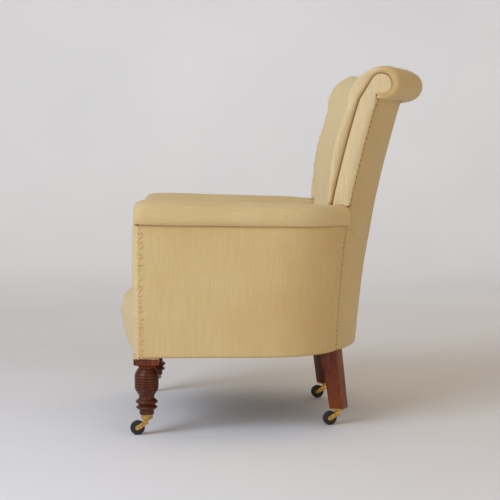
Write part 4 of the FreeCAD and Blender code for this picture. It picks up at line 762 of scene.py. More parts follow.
@dataclass
class Stuffed:
    """A stuffed piece: its CAD solid, remeshed, blown up as a cloth bag and held in at its neighbours."""

    node: str
    neighbours: tuple[str, ...]
    lie: Thread = Thread.UPRIGHT
    voxel_mm: float = 5.0
    rounds: int = 6
    pressure: float = 4.0
    cap_mm: float = 6.0
    seam_mm: float = 9.0
    lumps_mm: float = 0.8
    fill: float = 0.7
    divide: bool = True
    # how far from a neighbour the painted crease shade reaches
    crease_shade_mm: float = 9.0
    plump_mm: float = 0.8
    # painted light: how strongly the cloth is paled towards the window lamp, and the depth behind the front to which
    # it reaches
    painted_light: float = 0.2
    painted_light_to: float = 1.0
    shape: Callable[[np.ndarray], np.ndarray] | None = None
    frames: int = 20
    contact: float = 0.03

    def body_mesh(self) -> bpy.types.Object:
        """Copy the CAD solid, close it and remesh it evenly."""
        made = bmesh.new()
        made.from_mesh(frame["nodes"][self.node].data)
        bmesh.ops.remove_doubles(made, verts=made.verts, dist=1e-5)
        mesh = bpy.data.meshes.new(self.node)
        made.to_mesh(mesh)
        made.free()
        piece = link("padded_" + self.node, mesh)
        remesh = piece.modifiers.new("even", "REMESH")
        remesh.mode = "VOXEL"
        remesh.voxel_size = self.voxel_mm * MM
        remesh.adaptivity = 0.0
        return applied(piece)

    def snapped(self, places: np.ndarray) -> np.ndarray:
        """Lay the even mesh's points back on the solid, so that no step of the grid shows."""
        tree = tree_of([self.node])
        laid = places.copy()
        for at, place in enumerate(places):
            spot = tree.find_nearest(Vector(place), self.voxel_mm * 1.5 * MM)[0]
            if spot is not None:
                laid[at] = spot
        return laid

    def blown(self, piece: bpy.types.Object, hold: np.ndarray) -> np.ndarray:
        """Blow the piece up as cloth and return how far each point moved.

        Args:
            piece: the remeshed piece.
            hold: 0 where the piece is held by its neighbours, 1 where it is free.

        Returns:
            One move for each point.
        """
        start = points_of(piece.data)
        group = piece.vertex_groups.new(name="held")
        for at, free in enumerate(hold):
            group.add([at], float(1.0 - free), "REPLACE")
        cloth = piece.modifiers.new("bag", "CLOTH")
        settings = cloth.settings
        settings.quality = 4
        settings.mass = 0.3
        settings.tension_stiffness = settings.compression_stiffness = 18.0
        settings.shear_stiffness = 8.0
        settings.bending_stiffness = 2.0
        settings.use_pressure = True
        settings.uniform_pressure_force = self.pressure
        settings.vertex_group_mass = "held"
        settings.pin_stiffness = 1.0
        settings.effector_weights.gravity = 0.0
        cloth.collision_settings.use_collision = False
        cloth.point_cache.frame_start, cloth.point_cache.frame_end = 1, self.frames
        scene = bpy.context.scene
        for step in range(1, self.frames + 1):
            scene.frame_set(step)
        graph = bpy.context.evaluated_depsgraph_get()
        swollen = bpy.data.meshes.new_from_object(piece.evaluated_get(graph))
        moved = points_of(swollen) - start
        bpy.data.meshes.remove(swollen)
        piece.modifiers.clear()
        piece.vertex_groups.clear()
        scene.frame_set(1)
        return moved

    def capped(self, moved: np.ndarray) -> np.ndarray:
        """Limit how far each point moved."""
        size = np.linalg.norm(moved, axis=1, keepdims=True)
        cap = self.cap_mm * MM
        return moved * np.minimum(1.0, cap / np.maximum(size, 1e-9))

    def build(self, finishes: Finishes, seams: list[Seam], seed: float) -> None:
        """Make the piece and stand it in for its CAD solid.

        Args:
            finishes: the chair's finishes.
            seams: the chair's stitched seams.
            seed: moves the unevenness of the stuffing.
        """
        piece = self.body_mesh()
        tree = tree_of(list(self.neighbours))
        mesh = piece.data
        pairs = np.empty(len(mesh.edges) * 2, dtype=np.int64)
        mesh.edges.foreach_get("vertices", pairs)
        pairs = pairs.reshape(-1, 2)
        places = self.snapped(smoothed(points_of(mesh), pairs, 3, 0.5, np.ones(len(mesh.vertices))))
        near = distances(places, tree, self.contact)
        hold = eased(near, 0.001, self.seam_mm * MM)
        places = smoothed(places, pairs, self.rounds, 0.5, 0.25 + 0.75 * hold)
        if self.shape:
            places = self.shape(places)
        set_points(mesh, places)
        moved = self.capped(self.blown(piece, hold))
        moved = smoothed(moved, pairs, 4, 0.5, np.ones(len(places)))
        places = places + (moved + normals_of(mesh) * self.plump_mm * MM) * hold[:, None]
        set_points(mesh, places)
        if self.divide:
            divide = piece.modifiers.new("finer", "SUBSURF")
            divide.levels = divide.render_levels = 1
            piece = applied(piece)
        mesh = piece.data
        places, outward = points_of(mesh), normals_of(mesh)
        near = distances(places, tree, self.contact)
        lumps = unevenness(places, 0.09, seed) + 0.4 * unevenness(places, 0.028, seed + 5)
        free = eased(near, 0.003, 0.02)
        places = places + outward * (lumps * free * self.lumps_mm * MM - puckered(places, seams))[:, None]
        set_points(mesh, places)
        # painted shade: darker where the cloth meets its neighbours, in the creases and seams
        mark(mesh, "tuck", 1 - eased(near, 0.0008, self.crease_shade_mm * MM))
        # painted light: paler towards the front, which faces the window lamp
        depth = places[:, 1] + FORM.sag(places[:, 0])
        mark(mesh, "bleached", self.painted_light * (1 - eased(depth, self.painted_light_to - 0.03, self.painted_light_to)))
        clothed(mesh, finishes.linen[self.lie])
        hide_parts(self.node)
        kept(piece)


@dataclass
class Cover:
    """A taut cover panel: a fine grid over its form, rounded in at its edges and drawn in at its seams."""

    name: str
    node: str
    across: int
    along: int
    thickness: float = 0.0055
    crown: float = 0.0009
    edge_radius: tuple[float, float, float, float] = (0.004, 0.004, 0.006, 0.004)
    edge_depth: tuple[float, float, float, float] = (0.0008, 0.0012, 0.0035, 0.0015)
    back_columns: int = 9
    uneven: float = 0.0009
    uneven_wave: float = 0.085

    def spot(self, u: float, v: float) -> tuple[Vector, Vector]:
        """The form's place and outward direction at a share across and a share up."""
        raise NotImplementedError

    def height(self, u: float, v: float, edges: tuple[float, ...]) -> float:
        """How far the cloth stands out over the form before the stitches draw it in.

        Args:
            u: share across.
            v: share up.
            edges: distances to the left, right, lower and upper edges.

        Returns:
            The height in metres.
        """
        height = self.crown * (math.sin(math.pi * u) * math.sin(math.pi * v)) ** 0.6
        for distance, radius, depth in zip(edges, self.edge_radius, self.edge_depth):
            if distance < radius:
                short = 1 - distance / radius
                height -= depth * (1 - math.sqrt(max(0.0, 1 - short * short)))
        return height

    def build(self, finishes: Finishes, side: float, seams: list[Seam], seed: float) -> None:
        """Make the panel and stand it in for its CAD solid.

        Args:
            finishes: the chair's finishes.
            side: 1 for the left side, -1 for the right.
            seams: the chair's stitched seams.
            seed: moves the slight unevenness under the cloth.
        """
        even = np.linspace(0, 1, self.across)
        us = even * 0.45 + (0.5 - 0.5 * np.cos(math.pi * even)) * 0.55
        vs = np.linspace(0, 1, self.along)
        grid = [[self.spot(u, v) for u in us] for v in vs]
        outer, outward, inner, crease_shades = [], [], [], []
        coarse = np.unique(np.linspace(0, self.across - 1, self.back_columns).astype(int))
        self.inner_at = {}
        for row, v in enumerate(vs):
            for column, u in enumerate(us):
                place, out = grid[row][column]
                edges = tuple((place - grid[a][b][0]).length for a, b in
                              ((row, 0), (row, -1), (0, column), (-1, column)))
                height = self.height(u, v, edges)
                height += (self.uneven * noise.noise(place / self.uneven_wave + Vector((seed, 0, 0)))
                           * min(1, min(edges) / 0.03))
                outer.append(place + out * height)
                outward.append(out)
                # painted shade along every edge, strongest under the lower hem, where shade falls
                crease_shades.append(min(max(0.4 - min(edges) / 0.012, 1.2 - edges[2] / 0.0035, 0.0), 1.0))
                if row in (0, self.along - 1) or column in coarse:
                    self.inner_at[row, column] = len(inner)
                    inner.append(place - out * self.thickness)
        flip = np.array([side, 1.0, 1.0])
        outer, outward = np.array(outer) * flip, np.array(outward) * flip
        drawn = outer - outward * puckered(outer, seams)[:, None]
        faces = self.faces(coarse)
        if side < 0:
            faces = [face[::-1] for face in faces]
        mesh = bpy.data.meshes.new(self.name)
        mesh.from_pydata(np.concatenate([drawn, np.array(inner) * flip]).tolist(), [], faces)
        piece = link(self.name, mesh)
        mark(mesh, "tuck", np.array(crease_shades + [1.0] * len(inner)))
        clothed(mesh, finishes.linen[Thread.UPRIGHT])
        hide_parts(self.node)
        kept(piece)

    def faces(self, coarse: np.ndarray) -> list[tuple[int, ...]]:
        """The faces of the fine front, of the four edges and of the plain back of the panel.

        Args:
            coarse: the columns that the plain back keeps.

        Returns:
            The faces as tuples of point numbers.
        """
        across, along = self.across, self.along

        def front(row: int, column: int) -> int:
            return row * across + column

        def back(row: int, column: int) -> int:
            return across * along + self.inner_at[row, column]

        made = [(front(row, column), front(row, column + 1), front(row + 1, column + 1), front(row + 1, column))
                for row in range(along - 1) for column in range(across - 1)]
        rim = [(0, column) for column in range(across)]
        rim += [(row, across - 1) for row in range(1, along)]
        rim += [(along - 1, column) for column in range(across - 2, -1, -1)]
        rim += [(row, 0) for row in range(along - 2, 0, -1)]
        for here, after in zip(rim, rim[1:] + rim[:1]):
            made.append((front(*here), back(*here), back(*after), front(*after)))
        for row in range(along - 1):
            for left, right in zip(coarse[:-1], coarse[1:]):
                low = range(left, right + 1) if row == 0 else (left, right)
                high = range(left, right + 1) if row + 1 == along - 1 else (left, right)
                made.append(tuple([back(row + 1, column) for column in high]
                                  + [back(row, column) for column in reversed(low)]))
        return made


@dataclass
class SideCover(Cover):
    """The outside arm: flat, then curved in to the back seam."""

    front: float = -0.3245

    def spot(self, u: float, v: float) -> tuple[Vector, Vector]:
        """A place on the outside arm, from the front edge to the back seam."""
        rough = FORM.side_spot(self.front, u, FORM.base_z + 0.31 * v)[0]
        top = FORM.seam_z(rough.y) + 0.0006
        return FORM.side_spot(self.front, u, FORM.base_z + 0.0002 + v * (top - FORM.base_z))


@dataclass
class BackCover(Cover):
    """The outside back: a barrel curve that leans back, from the hem up under the roll."""

    def spot(self, u: float, v: float) -> tuple[Vector, Vector]:
        """A place on the outside back, from the left seam to the right one."""
        z = FORM.base_z + 0.0002 + v * (FORM.cover_top_z - FORM.base_z)
        turn = math.asin((FORM.seam_x(z) + 0.0002) / FORM.barrel_radius) * (1 - 2 * u)
        x = FORM.barrel_radius * math.sin(turn)
        slope = (FORM.back_y(z + 0.005) - FORM.back_y(z - 0.005)) / 0.01
        out = Vector((math.sin(turn), math.cos(turn), -slope)).normalized()
        return Vector((x, FORM.back_y(z) - FORM.sag(x), z)), out


@dataclass
class Covers:
    """The taut outside covers of the sides and the back."""

    def build(self, finishes: Finishes, seams: list[Seam]) -> None:
        """Make the three covers.

        Args:
            finishes: the chair's finishes.
            seams: the chair's stitched seams.
        """
        for order, (name, side) in enumerate(SIDES):
            SideCover("cover_outside_arm_" + name, "outside_arm_" + name, 110, 260).build(
                finishes, side, seams, 3.0 + order)
        BackCover("cover_outside_back", "outside_back", 120, 420).build(finishes, 1.0, seams, 9.0)


def corded(name: str, line: list[Vector], radius_mm: float, tuck: float, finishes: "Finishes") -> None:
    """Lay a thin roll of the cover's cloth along a line.

    Args:
        name: the piece's name.
        line: the points it runs through.
        radius_mm: its radius.
        tuck: how much painted shade darkens it, for the shade of the fold it lies in.
        finishes: the chair's finishes.
    """
    curve = bpy.data.curves.new(name, "CURVE")
    curve.dimensions = "3D"
    curve.bevel_depth = radius_mm * MM
    curve.bevel_resolution = 3
    curve.use_fill_caps = True
    spline = curve.splines.new("POLY")
    spline.points.add(len(line) - 1)
    for point, spot in zip(spline.points, line):
        point.co = (*spot, 1.0)
    drawn = bpy.data.objects.new(name + "_line", curve)
    bpy.context.scene.collection.objects.link(drawn)
    graph = bpy.context.evaluated_depsgraph_get()
    mesh = bpy.data.meshes.new_from_object(drawn.evaluated_get(graph))
    bpy.data.objects.remove(drawn)
    piece = link(name, mesh)
    # painted shade of one strength along the whole roll
    mark(mesh, "tuck", np.full(len(mesh.vertices), tuck))
    clothed(mesh, finishes.linen[Thread.UPRIGHT])
    kept(piece)


@dataclass
class Stitching:
    """Seams finished by hand: the cloth gathered in small slanted puckers under stitches of waxed thread."""

    welt_mm: float = 1.7
    welt_sunk_mm: float = 0.9
    pucker_raise_mm: float = -0.8
    thread_raise_mm: float = 0.7

    def nodes(self, name: str, material: bpy.types.Material) -> bpy.types.NodeTree:
        """Build the node group that lays slanted beads along a line.

        Args:
            name: the group's name.
            material: what the beads are made of.

        Returns:
            The node group.
        """
        tree = laying_group(name, ("Pitch", "Length", "Radius", "Slant", "Zigzag"), ("Seed",))
        given = tree.nodes.new("NodeGroupInput").outputs
        curve = add(tree, "GeometryNodeMeshToCurve", Mesh=given["Line"]).outputs["Curve"]
        spots = add(tree, "GeometryNodeCurveToPoints", {"mode": "LENGTH"}, Curve=curve, Length=given["Pitch"])
        outward = add(tree, "GeometryNodeInputNamedAttribute", {"data_type": "FLOAT_VECTOR"},
                      Name="outward").outputs["Attribute"]
        upright = add(tree, "FunctionNodeAlignRotationToVector", {"axis": "Z"},
                      Vector=spots.outputs["Tangent"]).outputs["Rotation"]
        facing = add(tree, "FunctionNodeAlignRotationToVector", {"axis": "X", "pivot_axis": "Z"},
                     Rotation=upright, Vector=outward).outputs["Rotation"]
        index = tree.nodes.new("GeometryNodeInputIndex").outputs[0]
        odd = add(tree, "ShaderNodeMath", {"operation": "MODULO"}, i0=index, i1=2.0).outputs[0]
        turn_back = add(tree, "ShaderNodeMath", {"operation": "MULTIPLY"}, i0=odd, i1=given["Zigzag"]).outputs[0]
        way = add(tree, "ShaderNodeMath", {"operation": "MULTIPLY_ADD"}, i0=turn_back, i1=-2.0, i2=1.0).outputs[0]
        lean = add(tree, "FunctionNodeRandomValue", {"data_type": "FLOAT"}, i2=-0.22, i3=0.22,
                   Seed=given["Seed"]).outputs[1]
        turn = add(tree, "ShaderNodeMath", {"operation": "MULTIPLY_ADD"}, i0=way, i1=given["Slant"],
                   i2=lean).outputs[0]
        tilt = add(tree, "ShaderNodeCombineXYZ", X=turn).outputs[0]
        turned = add(tree, "FunctionNodeRotateRotation", {"rotation_space": "LOCAL"}, Rotation=facing,
                     Rotate_By=tilt).outputs[0]
        half = add(tree, "ShaderNodeMath", {"operation": "MULTIPLY"}, i0=given["Length"], i1=0.5).outputs[0]
        swell = add(tree, "FunctionNodeRandomValue", {"data_type": "FLOAT"}, i2=0.75, i3=1.2,
                    Seed=given["Seed"]).outputs[1]
        thick = add(tree, "ShaderNodeMath", {"operation": "MULTIPLY"}, i0=given["Radius"], i1=swell).outputs[0]
        size = add(tree, "ShaderNodeCombineXYZ", X=thick, Y=thick, Z=half).outputs[0]
        ball = add(tree, "GeometryNodeMeshUVSphere", Segments=8, Rings=6, Radius=1.0).outputs["Mesh"]
        laid = add(tree, "GeometryNodeInstanceOnPoints", Points=spots.outputs["Points"], Instance=ball,
                   Rotation=turned, Scale=size).outputs["Instances"]
        end_group(tree, laid, material)
        return tree

    def run(self, tree: bpy.types.NodeTree, name: str, seam: Seam, sizes: tuple[float, float],
            raise_mm: float) -> None:
        """Lay one row of beads along a seam.

        Args:
            tree: the node group.
            name: the piece's name.
            seam: the seam.
            sizes: length and radius of a bead in millimetres.
            raise_mm: how far the row stands out from the seam's line.
        """
        line = [spot + out * raise_mm * MM for spot, out in zip(seam.line, seam.outward)]
        mesh = bpy.data.meshes.new(name)
        mesh.from_pydata(line, [(at, at + 1) for at in range(len(line) - 1)], [])
        directions = mesh.attributes.new("outward", "FLOAT_VECTOR", "POINT")
        directions.data.foreach_set("vector", np.array(seam.outward, dtype=np.float32).ravel())
        lay(tree, name, mesh, {
            "Pitch": seam.pitch, "Length": sizes[0] * MM, "Radius": sizes[1] * MM,
            "Slant": math.copysign(seam.slant, seam.line[0].x), "Zigzag": seam.zigzag, "Seed": seam.seed})

    def build(self, finishes: Finishes, seams: list[Seam]) -> None:
        """Gather and stitch every seam.

        Args:
            finishes: the chair's finishes.
            seams: the chair's stitched seams.
        """
        pale = self.nodes("pale_stitch_run", finishes.plain["thread"])
        # painted shade: the seams beside and over the back are stitched with the darker thread, for the shade in
        # them
        dark = self.nodes("dark_stitch_run", finishes.plain["old_thread"])
        cloth = self.nodes("pucker_run", finishes.linen[Thread.UPRIGHT])
        for seam in seams:
            self.run(cloth, "puckers_" + seam.name, seam, seam.pucker_mm, self.pucker_raise_mm)
            self.run(pale if seam.zigzag else dark, "stitches_" + seam.name, seam, seam.thread_mm,
                     self.thread_raise_mm)
            line = [spot + seam.welt - out * self.welt_sunk_mm * MM for spot, out in zip(seam.line, seam.outward)]
            # the welt gets a little painted shade
            corded("welt_" + seam.name, line, self.welt_mm, 0.1, finishes)


def rim_of(node: str, side: float) -> list[Vector]:
    """The sharp outer rim of a flat facing's solid, as a closed line of points in order.

    Args:
        node: the facing's CAD node.
        side: 1 for the left side, -1 for the right.

    Returns:
        The rim's points in order.
    """
    made = bmesh.new()
    made.from_mesh(frame["nodes"][node].data)
    bmesh.ops.remove_doubles(made, verts=made.verts, dist=2e-6)
    after: dict[int, list[int]] = {}
    spots = {}
    for edge in made.edges:
        if len(edge.link_faces) == 2:
            out = sorted(face.normal.x * side for face in edge.link_faces)
            if out[1] > 0.9 and out[0] < 0.88:
                here, there = edge.verts
                after.setdefault(here.index, []).append(there.index)
                after.setdefault(there.index, []).append(here.index)
                spots[here.index], spots[there.index] = here.co.copy(), there.co.copy()
    made.free()
    at = min(spots, key=lambda index: spots[index].z)
    loop, seen = [], set()
    while at is not None:
        loop.append(spots[at])
        seen.add(at)
        at = next((index for index in after[at] if index not in seen), None)
    return loop


@dataclass
class Piping:
    """The thin cloth-covered cord sewn in round the front edge and the head of each scroll facing."""

    radius_mm: float = 1.7
    seam_gap: float = 0.008
    end_gap: float = 0.006

    def build(self, finishes: Finishes) -> None:
        """Lay the piping on both sides.

        Args:
            finishes: the chair's finishes.
        """
        for name, side in SIDES:
            rim = rim_of("scroll_facing_" + name, side)
            low = min(spot.z for spot in rim)
            free = [spot.z > low + self.end_gap and
                    (spot.y < FORM.back_y(spot.z) - FORM.sag(spot.x) - self.seam_gap
                     or spot.z > FORM.cover_top_z + self.end_gap) for spot in rim]
            start = next(at for at in range(len(rim)) if free[at] and not free[at - 1])
            line = []
            for step in range(len(rim)):
                at = (start + step) % len(rim)
                if not free[at]:
                    break
                line.append(rim[at])
            # painted shade for the groove that the piping lies in
            corded("piping_" + name, line, self.radius_mm, 0.45, finishes)


@dataclass
class DustCover:
    """The black calico tacked under the seat, sagging a little between its tacks."""

    sag: float = 0.004
    step: float = 0.016
    thickness: float = 0.0008
    tack_pitch: float = 0.038
    tack_radius: float = 0.0034
    tack_inset: float = 0.006
    flat_rim: float = 0.004
    sag_reach: float = 0.05
    ripple: float = 0.0012
    ripple_wave: float = 0.03

    def cloth(self) -> tuple[bpy.types.Mesh, list[list[Vector]]]:
        """Cut the sheet from the solid's underside and divide it into small even faces.

        Returns:
            The sheet's mesh and its rims as lines of points.
        """
        made = bmesh.new()
        made.from_mesh(frame["nodes"]["dust_cover"].data)
        bmesh.ops.remove_doubles(made, verts=made.verts, dist=2e-6)
        upper = [face for face in made.faces if face.normal.z > -0.9]
        bmesh.ops.delete(made, geom=upper, context="FACES")
        bmesh.ops.dissolve_limit(made, angle_limit=math.radians(1.0), verts=made.verts, edges=made.edges)
        low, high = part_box("dust_cover")
        for axis in (0, 1):
            way = Vector((1 - axis, axis, 0))
            for cut in np.arange(low[axis] + self.step, high[axis], self.step):
                bmesh.ops.bisect_plane(made, geom=made.verts[:] + made.edges[:] + made.faces[:],
                                       plane_co=way * float(cut), plane_no=way)
        rim = [edge for edge in made.edges if len(edge.link_faces) == 1]
        lines = [[vert.co.copy() for vert in edge.verts] for edge in rim]
        ends = np.array([[*edge.verts[0].co, *edge.verts[1].co] for edge in rim])
        middles = (ends[:, :3] + ends[:, 3:]) / 2
        for vert in made.verts:
            away = np.linalg.norm(middles - np.array(vert.co), axis=1).min()
            vert.co.z -= self.sag * (1 - math.exp(-max(away - self.flat_rim, 0.0) / self.sag_reach))
            vert.co.z -= self.ripple * noise.noise(vert.co / self.ripple_wave) * min(away / 0.02, 1.0)
        mesh = bpy.data.meshes.new("dust_cover_cloth")
        made.to_mesh(mesh)
        made.free()
        return mesh, lines

    def tacks(self, lines: list[list[Vector]], finishes: Finishes) -> None:
        """Drive a row of small domed tacks just inside the sheet's rim, by geometry nodes.

        Args:
            lines: the rim as single edges.
            finishes: the chair's finishes.
        """
        tree = laying_group("tack_row", ("Pitch", "Head Radius"))
        given = tree.nodes.new("NodeGroupInput").outputs
        merged = add(tree, "GeometryNodeMergeByDistance", Geometry=given["Line"],
                     Distance=1e-5).outputs["Geometry"]
        curve = add(tree, "GeometryNodeMeshToCurve", Mesh=merged).outputs["Curve"]
        spots = add(tree, "GeometryNodeCurveToPoints", {"mode": "LENGTH"}, Curve=curve, Length=given["Pitch"])
        head = add(tree, "GeometryNodeMeshUVSphere", Segments=10, Rings=6, Radius=1.0).outputs["Mesh"]
        flat = add(tree, "ShaderNodeMath", {"operation": "MULTIPLY"}, i0=given["Head Radius"], i1=0.4).outputs[0]
        size = add(tree, "ShaderNodeCombineXYZ", X=given["Head Radius"], Y=given["Head Radius"], Z=flat).outputs[0]
        laid = add(tree, "GeometryNodeInstanceOnPoints", Points=spots.outputs["Points"], Instance=head,
                   Scale=size).outputs["Instances"]
        end_group(tree, laid, finishes.plain["steel"])
        low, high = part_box("dust_cover")
        middle = Vector(((low[0] + high[0]) / 2, (low[1] + high[1]) / 2, low[2]))
        points, edges = [], []
        for line in lines:
            edges.append((len(points), len(points) + 1))
            for spot in line:
                inward = middle - spot
                inward.z = 0
                points.append(spot + inward.normalized() * self.tack_inset)
        mesh = bpy.data.meshes.new("dust_cover_tacks")
        mesh.from_pydata(points, edges, [])
        lay(tree, "dust_cover_tacks", mesh, {"Pitch": self.tack_pitch, "Head Radius": self.tack_radius})

    def build(self, finishes: Finishes) -> None:
        """Hang the sheet, give it its thickness and tack it.

        Args:
            finishes: the chair's finishes.
        """
        mesh, lines = self.cloth()
        piece = link("dust_cover_cloth", mesh)
        wall = piece.modifiers.new("wall", "SOLIDIFY")
        wall.thickness = self.thickness
        wall.offset = -1.0
        clothed(applied(piece).data, finishes.plain["black_cloth"])
        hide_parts("dust_cover")
        kept(piece)
        self.tacks(lines, finishes)


def closed_rings(rings: list[list[Vector]]) -> tuple[list[Vector], list[tuple[int, ...]]]:
    """Join rings of equal count, each with its points turning left seen from above, from the lowest up.

    Args:
        rings: the rings, lowest first.

    Returns:
        The points and the faces, with a flat face at each end.
    """
    count = len(rings[0])
    spots = [spot for ring in rings for spot in ring]
    faces = [tuple(reversed(range(count)))]
    for level in range(len(rings) - 1):
        low, high = level * count, (level + 1) * count
        faces += [(low + at, low + (at + 1) % count, high + (at + 1) % count, high + at) for at in range(count)]
    faces.append(tuple(range((len(rings) - 1) * count, len(rings) * count)))
    return spots, faces


def square_ring(x: float, y: float, z: float, half: float, squareness: float) -> list[Vector]:
    """A level ring between a circle and a square with softened corners, its points closest at the corners.

    Args:
        x: the middle, sideways.
        y: the middle, fore and aft.
        z: the height.
        half: half the width across the flats.
        squareness: 2 for a circle, about 20 for a square.

    Returns:
        The ring's points, turning left seen from above.
    """
    ring = []
    for quarter in range(4):
        for step in range(24):
            along = step / 12 - 1
            turn = math.radians(45 + 90 * quarter + 45 * math.copysign(abs(along) ** 1.6, along))
            cos, sin = math.cos(turn), math.sin(turn)
            reach = half / (abs(cos) ** squareness + abs(sin) ** squareness) ** (1 / squareness)
            ring.append(Vector((x + reach * cos, y + reach * sin, z)))
    return ring


@dataclass
class FrontLeg:
    """A turned front leg: a square block, an ogee, a reeded vase, two sharp rings and a foot."""

    name: str
    side: float
    reed_edges: tuple[float, ...] = (157.6, 151.0, 144.2, 137.4, 131.0, 125.0, 118.4, 111.6)
    envelope: tuple[tuple[float, float], ...] = ((111.6, 27.9), (116, 28.6), (125, 28.9), (140, 28.9), (146, 28.4),
                                                 (152, 26.4), (157.6, 22.4))
    reed_depth: float = 1.5
    lower: tuple[tuple[float, float], ...] = (
        (16.8, 50.3), (17.4, 51.4), (17.6, 55.0), (17.5, 59.8), (18.0, 61.2), (19.8, 62.4), (22.8, 64.2),
        (24.9, 65.8), (25.5, 67.3), (25.0, 68.8), (23.0, 70.4), (20.6, 71.9), (19.6, 73.0), (19.7, 73.9),
        (21.0, 75.2), (23.8, 77.2), (25.9, 79.2), (26.5, 80.8), (25.9, 82.5), (23.6, 84.8), (20.8, 87.2),
        (18.9, 89.0), (18.2, 91.0), (18.3, 93.8), (19.7, 97.4), (22.3, 101.8), (25.4, 106.6), (27.4, 110.0))
    ogee: tuple[tuple[float, float, float], ...] = (
        (19.0, 161.6, 2.0), (18.8, 163.2, 2.0), (19.4, 165.2, 2.0), (21.4, 167.2, 2.3), (24.4, 168.8, 3.0),
        (27.0, 170.0, 5.0), (28.8, 171.2, 9.0), (29.8, 172.6, 18.0), (30.0, 174.0, 20.0), (30.0, 186.0, 20.0),
        (30.0, 190.0, 20.0))
    spigot: float = 12.3
    turned_dark_top: float = 0.1625
    head_z: float = 0.1901

    def reeds(self) -> list[tuple[float, float]]:
        """Radius and height along the reeded vase, lowest first."""
        heights, radii = zip(*self.envelope)
        found = []
        edges = sorted(self.reed_edges)
        for low, high in zip(edges, edges[1:]):
            for step in range(8):
                share = step / 8
                z = low + share * (high - low)
                swell = math.sqrt(max(0.0, 1 - (2 * share - 1) ** 2))
                found.append((float(np.interp(z, heights, radii)) - self.reed_depth * (1 - swell) ** 1.6, z))
        return found

    def build(self, finishes: Finishes) -> None:
        """Turn the leg, with its spigot in the castor's cup and its head inside the arm.

        Args:
            finishes: the chair's finishes.
        """
        node = "front_leg_" + self.name
        low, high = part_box(node)
        x, y = FORM.leg_x * self.side, FORM.front_y
        rounds = [(self.spigot, low[2] / MM, 2.0), (self.spigot, 50.1, 2.0)]
        rounds += [(radius, z, 2.0) for radius, z in self.lower + tuple(self.reeds())]
        rounds += [(22.2, 158.4, 2.0), (20.6, 160.0, 2.0)] + list(self.ogee)
        rings = [square_ring(x, y, z * MM, half * MM, power) for half, z, power in rounds]
        spots, faces = closed_rings(rings)
        first = len(spots)
        head = [[Vector((x + a * 0.027, y + b, z)) for a, b in ((-1, -0.008), (1, -0.008), (1, 0.034), (-1, 0.034))]
                for z in (self.head_z, high[2])]
        more, sides = closed_rings(head)
        spots += more
        faces += [tuple(first + at for at in face) for face in sides]
        mesh = bpy.data.meshes.new("turned_" + node)
        mesh.from_pydata(spots, [], faces)
        # the turned part below the block is marked to be darker
        mark(mesh, "stain", np.array([float(spot.z < self.turned_dark_top) for spot in spots]))
        finished(link("turned_" + node, mesh), node, finishes.wood["mahogany"], 40)


def finished(piece: bpy.types.Object, node: str, material: bpy.types.Material, crease: float) -> None:
    """Shade and dress a hard piece and stand it in for its CAD solid.

    Args:
        piece: the piece.
        node: the CAD node it stands for.
        material: its finish.
        crease: edges sharper than this many degrees stay crisp.
    """
    clothed(piece.data, material)
    piece.data.set_sharp_from_angle(angle=math.radians(crease))
    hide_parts(node)
    bodies = frame["record"]["behaviour"]["bodies"]
    kept(piece, next(body for body, nodes in bodies.items() if node in nodes))


@dataclass
class Worn:
    """A hard piece in its CAD solid's shape, with its edges rounded over by casting, polish and use."""

    node: str
    width_mm: float
    segments: int = 2

    def build(self, material: bpy.types.Material, slot: str) -> None:
        """Copy the CAD solid, close it and round its edges.

        Args:
            material: its finish.
            slot: the record's material slot; not used.
        """
        made = bmesh.new()
        made.from_mesh(frame["nodes"][self.node].data)
        bmesh.ops.remove_doubles(made, verts=made.verts, dist=2e-6)
        bmesh.ops.dissolve_limit(made, angle_limit=math.radians(0.6), verts=made.verts, edges=made.edges)
        mesh = bpy.data.meshes.new("worn_" + self.node)
        made.to_mesh(mesh)
        made.free()
        piece = link("worn_" + self.node, mesh)
        bevel = piece.modifiers.new("edges", "BEVEL")
        bevel.width = self.width_mm * MM
        bevel.segments = self.segments
        bevel.limit_method = "ANGLE"
        bevel.angle_limit = math.radians(38)
        finished(applied(piece), self.node, material, 40)


@dataclass
class Woodwork:
    """The legs and the castors."""

    def build(self, finishes: Finishes) -> None:
        """Make the four legs and the metal under them.

        Args:
            finishes: the chair's finishes.
        """
        for name, side in SIDES:
            FrontLeg(name, side).build(finishes)
            Worn("rear_leg_" + name, 1.4, 3).build(finishes.wood["mahogany"], "mahogany")
            Worn("castor_cup_front_" + name, 0.7).build(finishes.plain["brass"], "brass")
            Worn("castor_plate_rear_" + name, 0.6).build(finishes.plain["brass"], "brass")
            for end in ("front_", "rear_"):
                Worn("castor_horn_" + end + name, 0.6).build(finishes.plain["brass"], "brass")
                Worn("castor_wheel_" + end + name, 1.2).build(finishes.plain["dark_wheel"], "dark_wheel")


@dataclass
class LegWrap:
    """The linen folded under round the top of a front leg's block."""

    levels_mm: tuple[tuple[float, float], ...] = ((29.4, 196.4), (30.4, 196.6), (31.0, 194.0), (31.1, 189.0),
                                                  (31.0, 187.3), (30.6, 186.5), (30.05, 186.6))
    squareness: float = 14.0
    wave: float = 0.0011
    wave_length: float = 0.022

    def build(self, finishes: Finishes) -> None:
        """Fold the linen round both blocks.

        Args:
            finishes: the chair's finishes.
        """
        for order, (name, side) in enumerate(SIDES):
            rings = [square_ring(FORM.leg_x * side, FORM.front_y, z * MM, half * MM, self.squareness)
                     for half, z in self.levels_mm]
            shift = Vector((order * 7.0, 0, 0))
            for level, ring in enumerate(rings):
                for spot in ring:
                    spot.z += self.wave * noise.noise(spot / self.wave_length + shift) * min(level / 3, 1)
            count = len(rings[0])
            spots = [spot for ring in rings for spot in ring]
            faces = []
            for level in range(len(rings)):
                here, after = level * count, (level + 1) % len(rings) * count
                faces += [(here + at, after + at, after + (at + 1) % count, here + (at + 1) % count)
                          for at in range(count)]
            mesh = bpy.data.meshes.new("leg_wrap_" + name)
            mesh.from_pydata(spots, [], faces)
            clothed(mesh, finishes.linen[Thread.UPRIGHT])
            kept(link("leg_wrap_" + name, mesh))


